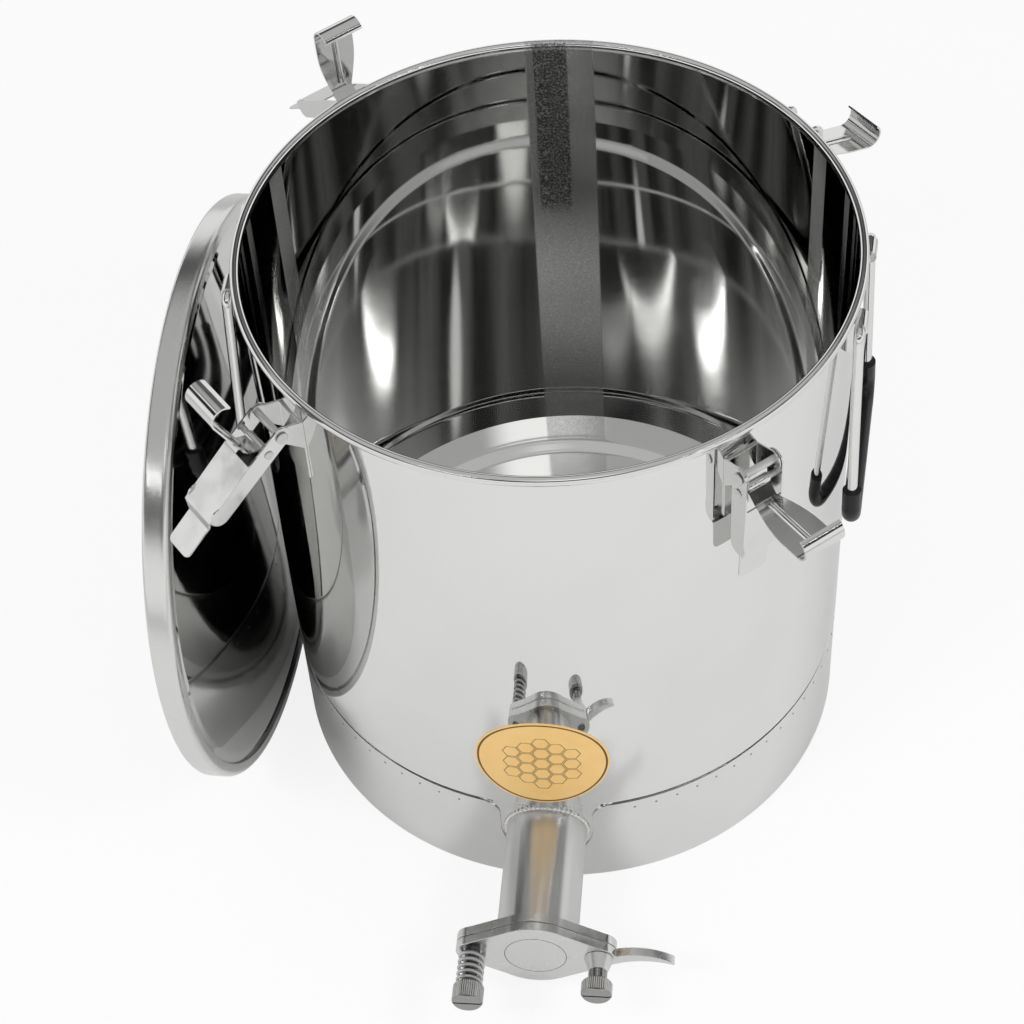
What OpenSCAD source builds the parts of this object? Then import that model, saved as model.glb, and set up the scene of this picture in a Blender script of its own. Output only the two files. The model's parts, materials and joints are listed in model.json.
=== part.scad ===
// Honey settling tank: stainless drum on a base skirt, with a swing gate on its spout,
// two bail handles, four lid clamps and a loose lid that stands beside the drum.
// Millimetres. The ground is z = 0, the drum's axis is Z and the spout points along -Y.
// Azimuths are in degrees, from the spout round towards +X.

/* [Drum] */
// Outer radius of the drum's wall
wall_r = 200; // [160:1:260]
// Height of the rim above the ground
tank_h = 435; // [380:1:600]
// Thickness of the wall sheet
wall_t = 1; // [0.8:0.1:1.6]
// Section radius of the rolled rim
bead_r = 3.2; // [2.8:0.1:4.5]
// How far the rolled rim stands out of the wall
bead_out = 4.6; // [4:0.1:6]
// Height of the wall's lower edge
wall_foot = 14; // [8:1:20]
// Height of the seam between wall and skirt
seam_h = 86; // [80:1:110]
// Height over which the wall steps in above the seam
joggle_h = 2.5; // [1.5:0.1:5]

/* [Floor] */
// Height of the floor's top at the back
floor_back_h = 57; // [50:1:70]
// Height of the floor's top at the spout
floor_front_h = 28.6; // [24:0.1:29]
// Thickness of the floor sheet
floor_t = 1.2; // [0.8:0.1:2]
// Width of the floor's outer ring
floor_ring_w = 26; // [16:1:50]
// Depth of the step inside the ring
floor_step = 5; // [3:0.5:8]

/* [Base skirt] */
// Thickness of the skirt sheet
skirt_t = 1; // [0.8:0.1:1.6]
// How far the skirt lies inside the wall's outer face
skirt_inset = 0.3; // [0:0.1:1]
// Open line between the skirt's top edge and the wall's step
seam_gap = 0.9; // [0.4:0.1:2]
// Width of the flange turned in under the skirt
hem_w = 9; // [5:0.5:20]
// Corner radius where the skirt's top edge turns down beside the spout
notch_corner_r = 13; // [6:1:20]

/* [Spout and gate] */
// Height of the spout's axis
spout_z = 56; // [55.5:0.5:60]
// Outer radius of the spout tube
tube_r = 28; // [24:0.5:28]
// Wall of the spout tube
tube_t = 1.5; // [1:0.1:2.5]
// Length of the spout from the wall to the fixed flange
spout_l = 86; // [60:1:130]
// Thickness of the fixed flange
flange_t = 6.5; // [5:0.5:10]
// Thickness of the swinging plate
plate_t = 6.5; // [4:0.5:10]
// Distance of each gate bolt from the spout's axis
bolt_x = 43; // [40:0.5:50]
// Radius of the gate bolts
bolt_r = 5; // [4:0.5:6]
// End radius of the gate's outline
gate_end_r = 11.5; // [10:0.5:14]
// Half height of the gate's outline
gate_half_w = 33; // [32:0.5:38]
// Reach of the finger past the lock bolt
finger_l = 51; // [44:1:60]
// Height of the weld round the spout
weld_w = 3.5; // [2:0.5:6]
// Thickness of the weld round the spout
weld_t = 1.6; // [0.8:0.1:3]

/* [Gate fasteners] */
// Free length of the pivot spring
spring_l = 25; // [20:0.5:34]
// Mean radius of the pivot spring
spring_r = 8.1; // [7.5:0.1:9]
// Wire radius of the pivot spring
spring_wire_r = 1.2; // [0.9:0.1:1.4]
// Turns of the pivot spring
spring_turns = 5; // [4:1:6]
// Radius of the knurled nuts
nut_r = 10.3; // [9:0.1:12]
// Length of the pivot nut
pivot_nut_l = 14; // [10:0.5:18]
// Length of the lock nut's head
lock_head_l = 11; // [8:0.5:16]
// Length of the lock nut's neck
lock_neck_l = 8; // [5:0.5:14]
// Length of the conical washer
cone_l = 10; // [6:0.5:14]
// Depth of the screwdriver slots
slot_d = 1.6; // [1:0.1:3]
// Width of the screwdriver slots
slot_w = 1.4; // [1:0.1:2]

/* [Label] */
// Radius of the round label
label_r = 46; // [35:1:46]
// Height of the label's centre
label_z = 140; // [138:1:240]
// Thickness of the label
label_t = 0.4; // [0.2:0.1:1]

/* [Handles] */
// Azimuths of the left and right handle
handle_azimuths = [-90, 85]; // [-180:1:180]
// Depth of the handles' hinge line below the rim
hinge_down = 15; // [15:1:55]
// Distance of the handles' hinge line from the wall
hinge_out = 3; // [3:0.5:8]
// Radius of the handle rod
rod_r = 3.5; // [3:0.1:4]
// Height of the handle from hinge line to grip
bail_h = 159; // [120:1:180]
// Half width of the handle at the hinge line
bail_top_w = 46; // [44:0.5:56]
// Half width of the handle at the grip
bail_grip_w = 62; // [50:0.5:80]
// Bend radius of the rod at the grip
grip_bend_r = 14; // [12:0.5:20]
// Bend radius of the rod at the hinge line
hinge_bend_r = 5; // [4.5:0.1:5.2]
// Outer radius of the black sleeve
sleeve_r = 6.2; // [5.5:0.1:6.6]
// Length of sleeve that runs up each leg
sleeve_leg_l = 30; // [20:1:50]
// Angle at which the handles hang off the vertical
bail_hang = 1.6; // [1.5:0.1:4]

/* [Lid clamps] */
// Azimuths of the clamps, front left, front right, back right, back left
clamp_azimuths = [-48.5, 39.7, 132, -138]; // [-180:0.1:180]
// Angles of the clamp levers above the horizontal
lever_angles = [-39.7, -92, -92, -33.6]; // [-92:0.1:10]
// Angles of the clamp hooks above the horizontal
hook_angles = [63.8, 2.6, -17.4, 86]; // [-30:0.1:100]
// Distance of the lever axle from the wall
axle_out = 16.5; // [15:0.5:22]
// Depth of the lever axle below the rim
axle_down = 24; // [22:0.5:34]
// Thickness of the clamp sheet
clamp_t = 1.2; // [1:0.1:1.4]
// Width of the clamp bracket
bracket_w = 25.4; // [24:0.1:30]
// Height of the bracket's web on the wall
web_h = 50; // [40:1:70]
// Distance from the lever axle to the hook pin
link_l = 13.7; // [12:0.1:16]
// Length of the lever's channel
channel_l = 70; // [55:1:90]
// Length of the lever's tongue
tongue_l = 28.7; // [20:0.1:40]
// Width of the lever's tongue
tongue_w = 22.3; // [16:0.1:26]
// Height of the lever's face over its axle
face_h = 8.1; // [7.8:0.1:10]
// Start of the lever's face, from its axle
face_from = 26; // [25:0.5:32]
// Width of the hook at its curl
hook_w = 29.5; // [26:0.5:40]
// Width of the hook at its eye
hook_neck_w = 16; // [12:0.5:18]
// Length of the hook's plate
hook_l = 47.6; // [40:0.1:60]
// Length of the hook's bent root
root_l = 12; // [11:0.1:14]
// Radius of the hook's curl
curl_r = 8; // [6:0.1:10]

/* [Lid] */
// Play between the lid's skirt and the rolled rim
lid_play = 0.9; // [0.5:0.1:2]
// Depth of the lid's skirt
lid_depth = 17; // [14:0.5:30]
// Thickness of the lid sheet
lid_t = 1; // [0.8:0.1:1.6]
// Distance of the standing lid's face from the drum's wall
lid_gap = 17; // [17:0.5:30]
// How far the standing lid's centre lies towards the spout
lid_shift = 17.8; // [0:0.1:30]
// Azimuth that the lid's face looks along
lid_azimuth = 86.7; // [80:0.1:90]
// Angle of the lid's face above the horizontal
lid_tilt = 2.5; // [0:0.1:3]

/* [Hidden] */
$fn = 96;
// Finer rounding for the drum's large circles
drum_fn = 360;

// Reach of a cut past the face that it opens
overrun = 1;
// Radial play of a turning pin in its hole
pin_play = 0.05;
// Side play between moving sheets
side_play = 0.3;
// Edges of a wedge that keeps part of a ring
wedge_steps = 4;

// Drum
bead_x = wall_r + bead_out - bead_r;
bead_z = tank_h - bead_r;
bead_slit = 0.6;
wire_play = 0.1;
low_r = wall_r - skirt_inset - skirt_t;
low_in_r = low_r - wall_t;

// Floor
floor_mid_h = (floor_back_h + floor_front_h) / 2;
floor_slope = atan((floor_back_h - floor_front_h) / (low_in_r * 2));
floor_reach = low_in_r + floor_back_h;

// Spout and gate
bore_r = tube_r - tube_t;
flange_y = wall_r + spout_l;
notch_gap = 1;
plate_gap = 0.3;
seal_wire_r = 1.5;
seal_out = 0.25;
seal_play = 0.05;
seal_r = (bore_r + gate_half_w) / 2;
flange_front = flange_y + flange_t;
plate_back = flange_front + plate_gap;
plate_front = plate_back + plate_t;
gate_flank = acos((gate_half_w - gate_end_r) / bolt_x);
flank_inset = 0.15;
// Radii of the finger's upper and lower edge, and where each edge crests, as shares of its reach
finger_top_share = 0.8;
finger_low_share = 0.94;
finger_crest_share = 0.51;
finger_hollow_share = 0.65;
// Height of each edge's crest over the bolt's axis, and the start of the finger
finger_crest = 6.4;
finger_hollow = -0.8;
finger_root = 4;

// Gate fasteners
stack_play = 0.2;
spring_from = plate_front + stack_play;
pivot_nut_from = spring_from + spring_l + stack_play;
bolt_chamfer = 1;
cone_r = 10;
cone_neck_r = 6.4;
lock_neck_r = 6.4;
nut_chamfer = 1.2;
washer_from = plate_front + stack_play;
lock_nut_from = washer_from + cone_l;
spring_rings = 8;
// Rings along the wire that are too near to count as its own neighbour
spring_skip = 5;
spring_sides = 6;

// Handles
hinge_x = wall_r + hinge_out;
hinge_z = tank_h - hinge_down;
lug_play = 2;
lug_from = 26;
lug_w = bail_top_w - rod_r - lug_play - lug_from;
lug_t = 1.6;
rod_end = lug_from - lug_play;
leaf_h = 20;
bend_swell = 0.05;
bend_lap = 0.6;
sleeve_play = 0.05;

// Clamps
axle_r = 2.5;
axle_x = wall_r + axle_out;
axle_z = tank_h - axle_down;
head_r = 4;
head_t = 1.5;
pin_r = 2;
pin_head_r = 3;
pin_head_t = 1;
web_t = 1.4;
ear_base_h = 27;
ear_end_r = 6.5;
ear_embed = 4;
lever_w = bracket_w + 2 * (side_play + clamp_t);
lever_end_r = 7;
flange_in = 4.5;
flange_corner_r = 7;
step_l = 5;
step_h = 6;
tongue_corner_r = 4;
root_bend = 45;
curl_sweep = 150;
lip_l = 1.5;
rib_r = 2.6;
rib_end = 5;
curl_swell = 0.03;
curl_lap = 0.4;
hook_widen_share = 0.72;
hook_flare_steps = 8;

// Lid
lid_r = wall_r + bead_out + lid_play + lid_t;
lid_bead_r = 2.4;
lid_edge_r = 4;
lid_ring_w = 9;
lid_groove_w = 4;
lid_groove_d = 2;
lid_panel_rise = 1.4;
lid_panel_slope_w = 3;
seal_w = lid_ring_w - lid_t - lid_edge_r;
seal_h = 4;
lid_z = lid_bead_r + (lid_r - lid_bead_r) * cos(lid_tilt) + (lid_depth - lid_bead_r) * sin(lid_tilt);

// Shared shapes

// Children drawn in the upright plane at an azimuth: x is the distance from the drum's axis,
// y the height and z the sideways direction.
module in_plane(azimuth) {
    rotate([0, 0, azimuth - 90]) rotate([90, 0, 0]) children();
}

// Wedge that keeps the part of a ring between two angles
module wedge2d(reach, from, sweep) {
    angles = [for (i = [0 : wedge_steps]) from + sweep * i / wedge_steps];
    polygon(concat([[0, 0]], [for (angle = angles) 2 * reach * [cos(angle), sin(angle)]]));
}

// Band of a thickness along an arc
module band2d(mid_r, thick, from, sweep) {
    intersection() {
        difference() {
            circle(mid_r + thick / 2);
            circle(mid_r - thick / 2);
        }
        wedge2d(mid_r + thick, from, sweep);
    }
}

// Straight strip from the origin along x
module strip2d(length, thick) {
    translate([0, -thick / 2]) square([length, thick]);
}

// Plate of the gate's outline: a wide round middle with straight flanks that run to round ends
module gate_slab(thick) {
    wide = (gate_half_w - flank_inset) * [cos(gate_flank), sin(gate_flank)];
    end = [bolt_x, 0] + (gate_end_r - flank_inset) * [cos(gate_flank), sin(gate_flank)];
    cylinder(r = gate_half_w, h = thick);
    for (side = [-1, 1]) translate([side * bolt_x, 0, 0]) cylinder(r = gate_end_r, h = thick);
    linear_extrude(thick) polygon([wide, [-wide.x, wide.y], [-end.x, end.y], [-end.x, -end.y],
        [-wide.x, -wide.y], [wide.x, -wide.y], [end.x, -end.y], end]);
}

// Children drawn in the gate's plane, with z running out along the spout from a distance
module at_gate(distance) {
    translate([0, -distance, spout_z]) rotate([90, 0, 0]) children();
}

// Solid of revolution of the drum's outer face below the bead
module drum_outside() {
    rotate_extrude() polygon([[0, 0], [low_r, 0], [low_r, seam_h], [wall_r, seam_h + joggle_h],
        [wall_r, tank_h], [0, tank_h]]);
}

// Round rod along a flat path. Each inner point has a bend radius, and the bends swell a little,
// so that the straight legs end inside them.
module rod_path(points, radius, bends) {
    last = len(points) - 1;
    turns = [for (i = [0 : last]) (i == 0 || i == last) ? 0
        : let (a = points[i] - points[i - 1], b = points[i + 1] - points[i])
            atan2(a.x * b.y - a.y * b.x, a.x * b.x + a.y * b.y)];
    // Length that each bend takes from the legs beside it
    trims = [for (i = [0 : last]) bends[i] * tan(abs(turns[i]) / 2)];
    for (i = [0 : last - 1]) {
        leg = points[i + 1] - points[i];
        heading = atan2(leg.y, leg.x);
        from = i == 0 ? 0 : trims[i] - bend_lap;
        to = norm(leg) - (i == last - 1 ? 0 : trims[i + 1] - bend_lap);
        translate(points[i]) rotate([0, 0, heading]) translate([from, 0, 0])
            rotate([0, 90, 0]) cylinder(r = radius, h = to - from);
        if (i > 0) {
            side = turns[i] > 0 ? 1 : -1;
            translate(points[i]) rotate([0, 0, heading - turns[i]])
                translate([-trims[i], side * bends[i], 0]) rotate([0, 0, side > 0 ? -90 : 90 + turns[i]])
                    rotate_extrude(angle = abs(turns[i]))
                        translate([bends[i], 0]) circle(radius + bend_swell);
        }
    }
}

// Drum

module tank_wall() {
    color("gainsboro") difference() {
        rotate_extrude() difference() {
            union() {
                polygon([[low_in_r, wall_foot], [low_r, wall_foot], [low_r, seam_h],
                    [wall_r, seam_h + joggle_h], [wall_r, bead_z], [wall_r - wall_t, bead_z],
                    [wall_r - wall_t, seam_h + joggle_h], [low_in_r, seam_h]]);
                translate([bead_x, bead_z]) circle(bead_r);
            }
            translate([bead_x, bead_z]) circle(bead_r - wall_t);
            translate([wall_r, bead_z - bead_r]) square([bead_slit, bead_r]);
        }
        at_gate(0) cylinder(r = tube_r, h = wall_r + overrun);
    }
}

module rim_wire() {
    color("silver") rotate_extrude() translate([bead_x, bead_z]) circle(bead_r - wall_t - wire_play);
}

module tank_floor() {
    ring_in = low_in_r - floor_ring_w;
    disc_r = ring_in - floor_step;
    color("gainsboro") intersection() {
        translate([0, 0, floor_mid_h]) rotate([floor_slope, 0, 0]) rotate_extrude()
            polygon([[0, -floor_step], [disc_r, -floor_step], [ring_in, 0], [floor_reach, 0],
                [floor_reach, -floor_t], [ring_in, -floor_t], [disc_r, -floor_step - floor_t],
                [0, -floor_step - floor_t]]);
        cylinder(r = low_in_r, h = tank_h);
    }
}

module base_skirt() {
    top = seam_h - seam_gap;
    notch_r = tube_r + weld_w + notch_gap;
    color("gainsboro") difference() {
        rotate_extrude() {
            translate([low_r, 0]) square([skirt_t, top]);
            translate([low_r - hem_w, 0]) square([hem_w + skirt_t, skirt_t]);
        }
        at_gate(0) linear_extrude(wall_r + overrun) {
            circle(notch_r);
            translate([-notch_r, 0]) square([2 * notch_r, top]);
            for (side = [-1, 1]) translate([side * notch_r, top - spout_z]) difference() {
                translate([side > 0 ? 0 : -notch_corner_r, -notch_corner_r])
                    square([notch_corner_r, notch_corner_r + overrun]);
                translate([side * notch_corner_r, -notch_corner_r]) circle(notch_corner_r);
            }
        }
    }
}

module label_disc() {
    color("goldenrod") intersection() {
        difference() {
            cylinder(r = wall_r + label_t, h = tank_h);
            translate([0, 0, -overrun]) cylinder(r = wall_r, h = tank_h + 2 * overrun);
        }
        translate([0, 0, label_z]) rotate([90, 0, 0]) cylinder(r = label_r, h = wall_r + overrun);
    }
}

// Spout and gate

module spout_tube() {
    color("silver") difference() {
        at_gate(0) difference() {
            cylinder(r = tube_r, h = flange_y);
            translate([0, 0, -overrun]) cylinder(r = bore_r, h = flange_y + 2 * overrun);
        }
        cylinder(r = low_in_r, h = tank_h);
    }
}

module spout_weld() {
    color("lightgray") intersection() {
        difference() {
            at_gate(0) cylinder(r = tube_r + weld_w, h = wall_r + weld_t);
            at_gate(-overrun) cylinder(r = tube_r, h = wall_r + weld_t + 2 * overrun);
            drum_outside();
        }
        cylinder(r = wall_r + weld_t, h = tank_h);
    }
}

module gate_flange() {
    color("darkgray") at_gate(flange_y) difference() {
        gate_slab(flange_t);
        translate([0, 0, -overrun]) cylinder(r = bore_r, h = flange_t + 2 * overrun);
        for (side = [-1, 1]) translate([side * bolt_x, 0, -overrun])
            cylinder(r = bolt_r, h = flange_t + 2 * overrun);
        translate([0, 0, flange_t + seal_out - seal_wire_r]) rotate_extrude()
            translate([seal_r, 0]) circle(seal_wire_r + seal_play);
    }
}

module gate_seal() {
    color("whitesmoke") at_gate(flange_front + seal_out - seal_wire_r) rotate_extrude()
        translate([seal_r, 0]) circle(seal_wire_r);
}

// Curved finger that runs out past the lock bolt and dips to its tip
module finger2d() {
    top_r = finger_l * finger_top_share;
    low_r = finger_l * finger_low_share;
    intersection() {
        difference() {
            translate([finger_l * finger_crest_share, finger_crest - top_r]) circle(top_r);
            translate([finger_l * finger_hollow_share, finger_hollow - low_r]) circle(low_r);
        }
        translate([finger_root, -gate_half_w]) square([finger_l - finger_root, 2 * gate_half_w]);
    }
}

module gate_plate() {
    slot_r = bolt_r + side_play;
    color("whitesmoke") at_gate(plate_back) difference() {
        union() {
            gate_slab(plate_t);
            translate([bolt_x, 0, 0]) linear_extrude(plate_t) finger2d();
        }
        // Open slot that lets the lock bolt out as the plate swings up
        translate([0, 0, -overrun]) linear_extrude(plate_t + 2 * overrun) {
            intersection() {
                translate([-bolt_x, 0]) difference() {
                    circle(2 * bolt_x + slot_r);
                    circle(2 * bolt_x - slot_r);
                }
                translate([bolt_x - 2 * bolt_r, -gate_half_w]) square([4 * bolt_r, gate_half_w]);
            }
            translate([bolt_x, 0]) circle(slot_r);
        }
        translate([-bolt_x, 0, -overrun]) cylinder(r = bolt_r + pin_play, h = plate_t + 2 * overrun);
    }
}

// Plain stud with a chamfered outer end
module stud(length) {
    cylinder(r = bolt_r, h = length - bolt_chamfer);
    translate([0, 0, length - bolt_chamfer])
        cylinder(r1 = bolt_r, r2 = bolt_r - bolt_chamfer, h = bolt_chamfer);
}

// Turned nut with chamfered ends, a blind hole and a screwdriver slot
module slotted_nut(length, hole_l) {
    difference() {
        rotate_extrude() polygon([[0, 0], [nut_r - nut_chamfer, 0], [nut_r, nut_chamfer],
            [nut_r, length - nut_chamfer], [nut_r - nut_chamfer, length], [0, length]]);
        translate([0, 0, -overrun]) cylinder(r = bolt_r + pin_play, h = hole_l + overrun);
        translate([-nut_r, -slot_w / 2, length - slot_d]) cube([2 * nut_r, slot_w, slot_d + overrun]);
    }
}

module pivot_bolt() {
    reach = pivot_nut_from + pivot_nut_l / 2 - flange_y;
    color("silver") translate([-bolt_x, 0, 0]) at_gate(flange_y) stud(reach);
}

module pivot_nut() {
    color("silver") translate([-bolt_x, 0, 0]) at_gate(pivot_nut_from)
        slotted_nut(pivot_nut_l, pivot_nut_l / 2 + stack_play);
}

// Centre of the spring's wire at a turn count
function spring_point(turn) = [spring_r * cos(360 * turn), spring_r * sin(360 * turn),
    spring_wire_r + (spring_l - 2 * spring_wire_r) * turn / spring_turns];

// Corner of the wire's section, in the upright plane through the coil's axis
function spring_corner(turn, side) = let (angle = 360 * side / spring_sides, out = cos(angle))
    spring_point(turn) + spring_wire_r * [out * cos(360 * turn), out * sin(360 * turn), sin(angle)];

spring_steps = spring_turns * spring_rings;
spring_centres = [for (i = [0 : spring_steps]) spring_point(i / spring_rings)];
spring_gap = min([for (i = [0 : spring_steps - spring_skip], j = [i + spring_skip : spring_steps])
    norm(spring_centres[i] - spring_centres[j])]) - 2 * spring_wire_r;
echo("least gap of the pivot spring to itself", spring_gap);

module pivot_spring() {
    corners = [for (i = [0 : spring_steps], side = [0 : spring_sides - 1])
        spring_corner(i / spring_rings, side)];
    walls = [for (i = [0 : spring_steps - 1], side = [0 : spring_sides - 1], half = [0, 1])
        let (a = i * spring_sides + side, b = i * spring_sides + (side + 1) % spring_sides)
            half == 0 ? [a, b, b + spring_sides] : [a, b + spring_sides, a + spring_sides]];
    first = [for (side = [1 : spring_sides - 2]) [0, side + 1, side]];
    base = spring_steps * spring_sides;
    final = [for (side = [1 : spring_sides - 2]) [base, base + side, base + side + 1]];
    color("gray") translate([-bolt_x, 0, 0]) at_gate(spring_from)
        polyhedron(points = corners, faces = concat(walls, first, final));
}

module lock_bolt() {
    reach = lock_nut_from + lock_neck_l - flange_y;
    color("silver") translate([bolt_x, 0, 0]) at_gate(flange_y) stud(reach);
}

module lock_washer() {
    color("silver") translate([bolt_x, 0, 0]) at_gate(washer_from) difference() {
        cylinder(r1 = cone_r, r2 = cone_neck_r, h = cone_l);
        translate([0, 0, -overrun]) cylinder(r = bolt_r + pin_play, h = cone_l + 2 * overrun);
    }
}

module lock_nut() {
    color("silver") translate([bolt_x, 0, 0]) at_gate(lock_nut_from) {
        difference() {
            cylinder(r = lock_neck_r, h = lock_neck_l);
            translate([0, 0, -overrun]) cylinder(r = bolt_r + pin_play, h = lock_neck_l + 2 * overrun);
        }
        translate([0, 0, lock_neck_l]) slotted_nut(lock_head_l, stack_play);
    }
}

// Handles

module handle_lugs(side) {
    knuckle_r = rod_r + pin_play + lug_t;
    color("lightgray") in_plane(handle_azimuths[side]) for (end = [-1, 1]) difference() {
        translate([0, 0, end > 0 ? lug_from : -lug_from - lug_w]) difference() {
            linear_extrude(lug_w) difference() {
                union() {
                    translate([hinge_x, hinge_z]) circle(knuckle_r);
                    translate([low_in_r - bead_out, hinge_z - knuckle_r])
                        square([hinge_x - low_in_r + bead_out, 2 * knuckle_r]);
                    translate([low_in_r - bead_out, hinge_z - leaf_h])
                        square([wall_r + lug_t - low_in_r + bead_out, leaf_h]);
                }
                translate([hinge_x, hinge_z]) circle(rod_r + pin_play);
            }
        }
        rotate([-90, 0, 0]) cylinder(r = wall_r, h = 2 * tank_h, center = true, $fn = drum_fn);
    }
}

bail_bends = [0, hinge_bend_r, grip_bend_r, grip_bend_r, hinge_bend_r, 0];
sleeve_bends = [0, grip_bend_r, grip_bend_r, 0];

function bail_points() = [[rod_end, 0], [bail_top_w, 0], [bail_grip_w, -bail_h],
    [-bail_grip_w, -bail_h], [-bail_top_w, 0], [-rod_end, 0]];

// Places on the legs where the sleeve ends
function sleeve_points() = let (p = bail_points(), share = sleeve_leg_l / norm(p[2] - p[1]))
    [p[2] + (p[1] - p[2]) * share, p[2], p[3], p[3] + (p[4] - p[3]) * share];

// Children drawn in the handle's own plane: x sideways, y up from the hinge line
module in_bail(side) {
    in_plane(handle_azimuths[side]) translate([hinge_x, hinge_z, 0]) rotate([0, 0, bail_hang])
        rotate([0, 90, 0]) mirror([1, 0, 0]) children();
}

module handle_bail(side) {
    color("silver") in_bail(side) rod_path(bail_points(), rod_r, bail_bends);
}

module handle_grip(side) {
    color([0.06, 0.06, 0.06]) in_bail(side) difference() {
        rod_path(sleeve_points(), sleeve_r, sleeve_bends);
        rod_path(bail_points(), rod_r + sleeve_play, bail_bends);
    }
}

module left_handle_lugs() { handle_lugs(0); }
module left_handle_bail() { handle_bail(0); }
module left_handle_grip() { handle_grip(0); }
module right_handle_lugs() { handle_lugs(1); }
module right_handle_bail() { handle_bail(1); }
module right_handle_grip() { handle_grip(1); }

// Lid clamps

// Children drawn in a clamp lever's frame: x along the lever, y out of its face
module in_lever(i) {
    in_plane(clamp_azimuths[i]) translate([axle_x, axle_z, 0])
        rotate([0, 0, lever_angles[i]]) children();
}

// Children drawn in a clamp hook's frame: x along its plate, y towards the curl
module in_hook(i) {
    in_plane(clamp_azimuths[i])
        translate([axle_x + link_l * cos(lever_angles[i]), axle_z + link_l * sin(lever_angles[i]), 0])
            rotate([0, 0, hook_angles[i]]) children();
}

module clamp_bracket(i) {
    top = axle_z;
    color("lightgray") in_plane(clamp_azimuths[i]) difference() {
        union() {
            intersection() {
                rotate([-90, 0, 0]) cylinder(r = wall_r + web_t, h = tank_h);
                translate([wall_r / 2, top - web_h, -bracket_w / 2]) cube([wall_r, web_h, bracket_w]);
            }
            for (side = [-1, 1]) translate([0, 0, side * (bracket_w - clamp_t) / 2])
                linear_extrude(clamp_t, center = true) {
                    translate([axle_x, axle_z]) circle(ear_end_r);
                    polygon([[wall_r - ear_embed, top - ear_base_h], [axle_x, axle_z - ear_end_r],
                        [axle_x, axle_z + ear_end_r], [wall_r - ear_embed, top]]);
                }
        }
        rotate([-90, 0, 0]) translate([0, 0, -overrun]) cylinder(r = wall_r, h = tank_h + 2 * overrun);
        translate([axle_x, axle_z, 0]) cylinder(r = axle_r, h = 2 * bracket_w, center = true);
    }
}

module clamp_axle(i) {
    shank = lever_w + 2 * side_play;
    color("silver") in_lever(i) {
        cylinder(r = axle_r, h = shank, center = true);
        for (side = [-1, 1]) translate([0, 0, side * (shank + head_t) / 2])
            cylinder(r = head_r, h = head_t, center = true);
    }
}

// Side outline of the lever's channel
module channel2d() {
    circle(lever_end_r);
    polygon([[0, -lever_end_r], [channel_l - flange_corner_r, -flange_in],
        [channel_l - flange_corner_r, face_h], [face_from, face_h], [0, lever_end_r]]);
    translate([channel_l - flange_corner_r, flange_corner_r - flange_in]) circle(flange_corner_r);
    translate([channel_l - flange_corner_r, flange_corner_r - flange_in])
        square([flange_corner_r, face_h + flange_in - flange_corner_r]);
}

// Outline of the lever's tongue, seen square to its face
module tongue2d() {
    tip = channel_l + tongue_l;
    difference() {
        polygon([[channel_l - clamp_t, -lever_w / 2], [channel_l, -lever_w / 2],
            [channel_l + step_l, -tongue_w / 2], [tip, -tongue_w / 2], [tip, tongue_w / 2],
            [channel_l + step_l, tongue_w / 2], [channel_l, lever_w / 2],
            [channel_l - clamp_t, lever_w / 2]]);
        for (side = [-1, 1])
            translate([tip - tongue_corner_r, side * (tongue_w / 2 - tongue_corner_r)]) difference() {
                translate([0, side > 0 ? 0 : -tongue_corner_r - overrun])
                    square(tongue_corner_r + overrun);
                circle(tongue_corner_r);
            }
    }
}

module clamp_lever(i) {
    color("lightgray") in_lever(i) difference() {
        union() {
            for (side = [-1, 1]) translate([0, 0, side * (lever_w - clamp_t) / 2])
                linear_extrude(clamp_t, center = true) channel2d();
            translate([face_from, face_h - clamp_t, -lever_w / 2])
                cube([channel_l - face_from, clamp_t, lever_w]);
            // Tongue: the face steps down and narrows
            intersection() {
                linear_extrude(lever_w, center = true) polygon([[channel_l, face_h],
                    [channel_l + step_l, face_h - step_h], [channel_l + tongue_l, face_h - step_h],
                    [channel_l + tongue_l, face_h - step_h - clamp_t],
                    [channel_l + step_l - clamp_t / 2, face_h - step_h - clamp_t],
                    [channel_l - clamp_t / 2, face_h - clamp_t]]);
                rotate([-90, 0, 0]) translate([0, 0, -tongue_l]) linear_extrude(2 * tongue_l) tongue2d();
            }
        }
        cylinder(r = axle_r + pin_play, h = 2 * lever_w, center = true);
        translate([link_l, 0, 0]) cylinder(r = pin_r, h = 2 * lever_w, center = true);
    }
}

module clamp_pin(i) {
    color("silver") in_lever(i) translate([link_l, 0, 0]) {
        cylinder(r = pin_r, h = lever_w, center = true);
        for (side = [-1, 1]) translate([0, 0, side * (lever_w + pin_head_t) / 2])
            cylinder(r = pin_head_r, h = pin_head_t, center = true);
    }
}

// Side outline of the hook's sheet: bent root, plate, curl and lip
module hook2d(corner, curl) {
    half = clamp_t / 2;
    mitre = half / cos(root_bend / 2) * [sin(root_bend / 2), cos(root_bend / 2)];
    edge = half * [sin(root_bend), cos(root_bend)];
    polygon([edge, corner + mitre, [curl.x + curl_lap, corner.y + half],
        [curl.x + curl_lap, corner.y - half], corner - mitre, -edge]);
    translate(curl) {
        band2d(curl_r, clamp_t + 2 * curl_swell, -90, curl_sweep);
        rotate(curl_sweep - 90) translate([curl_r, -curl_lap])
            rotate(90) strip2d(lip_l + curl_lap, clamp_t);
    }
    circle(pin_r + pin_play + clamp_t);
}

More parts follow.
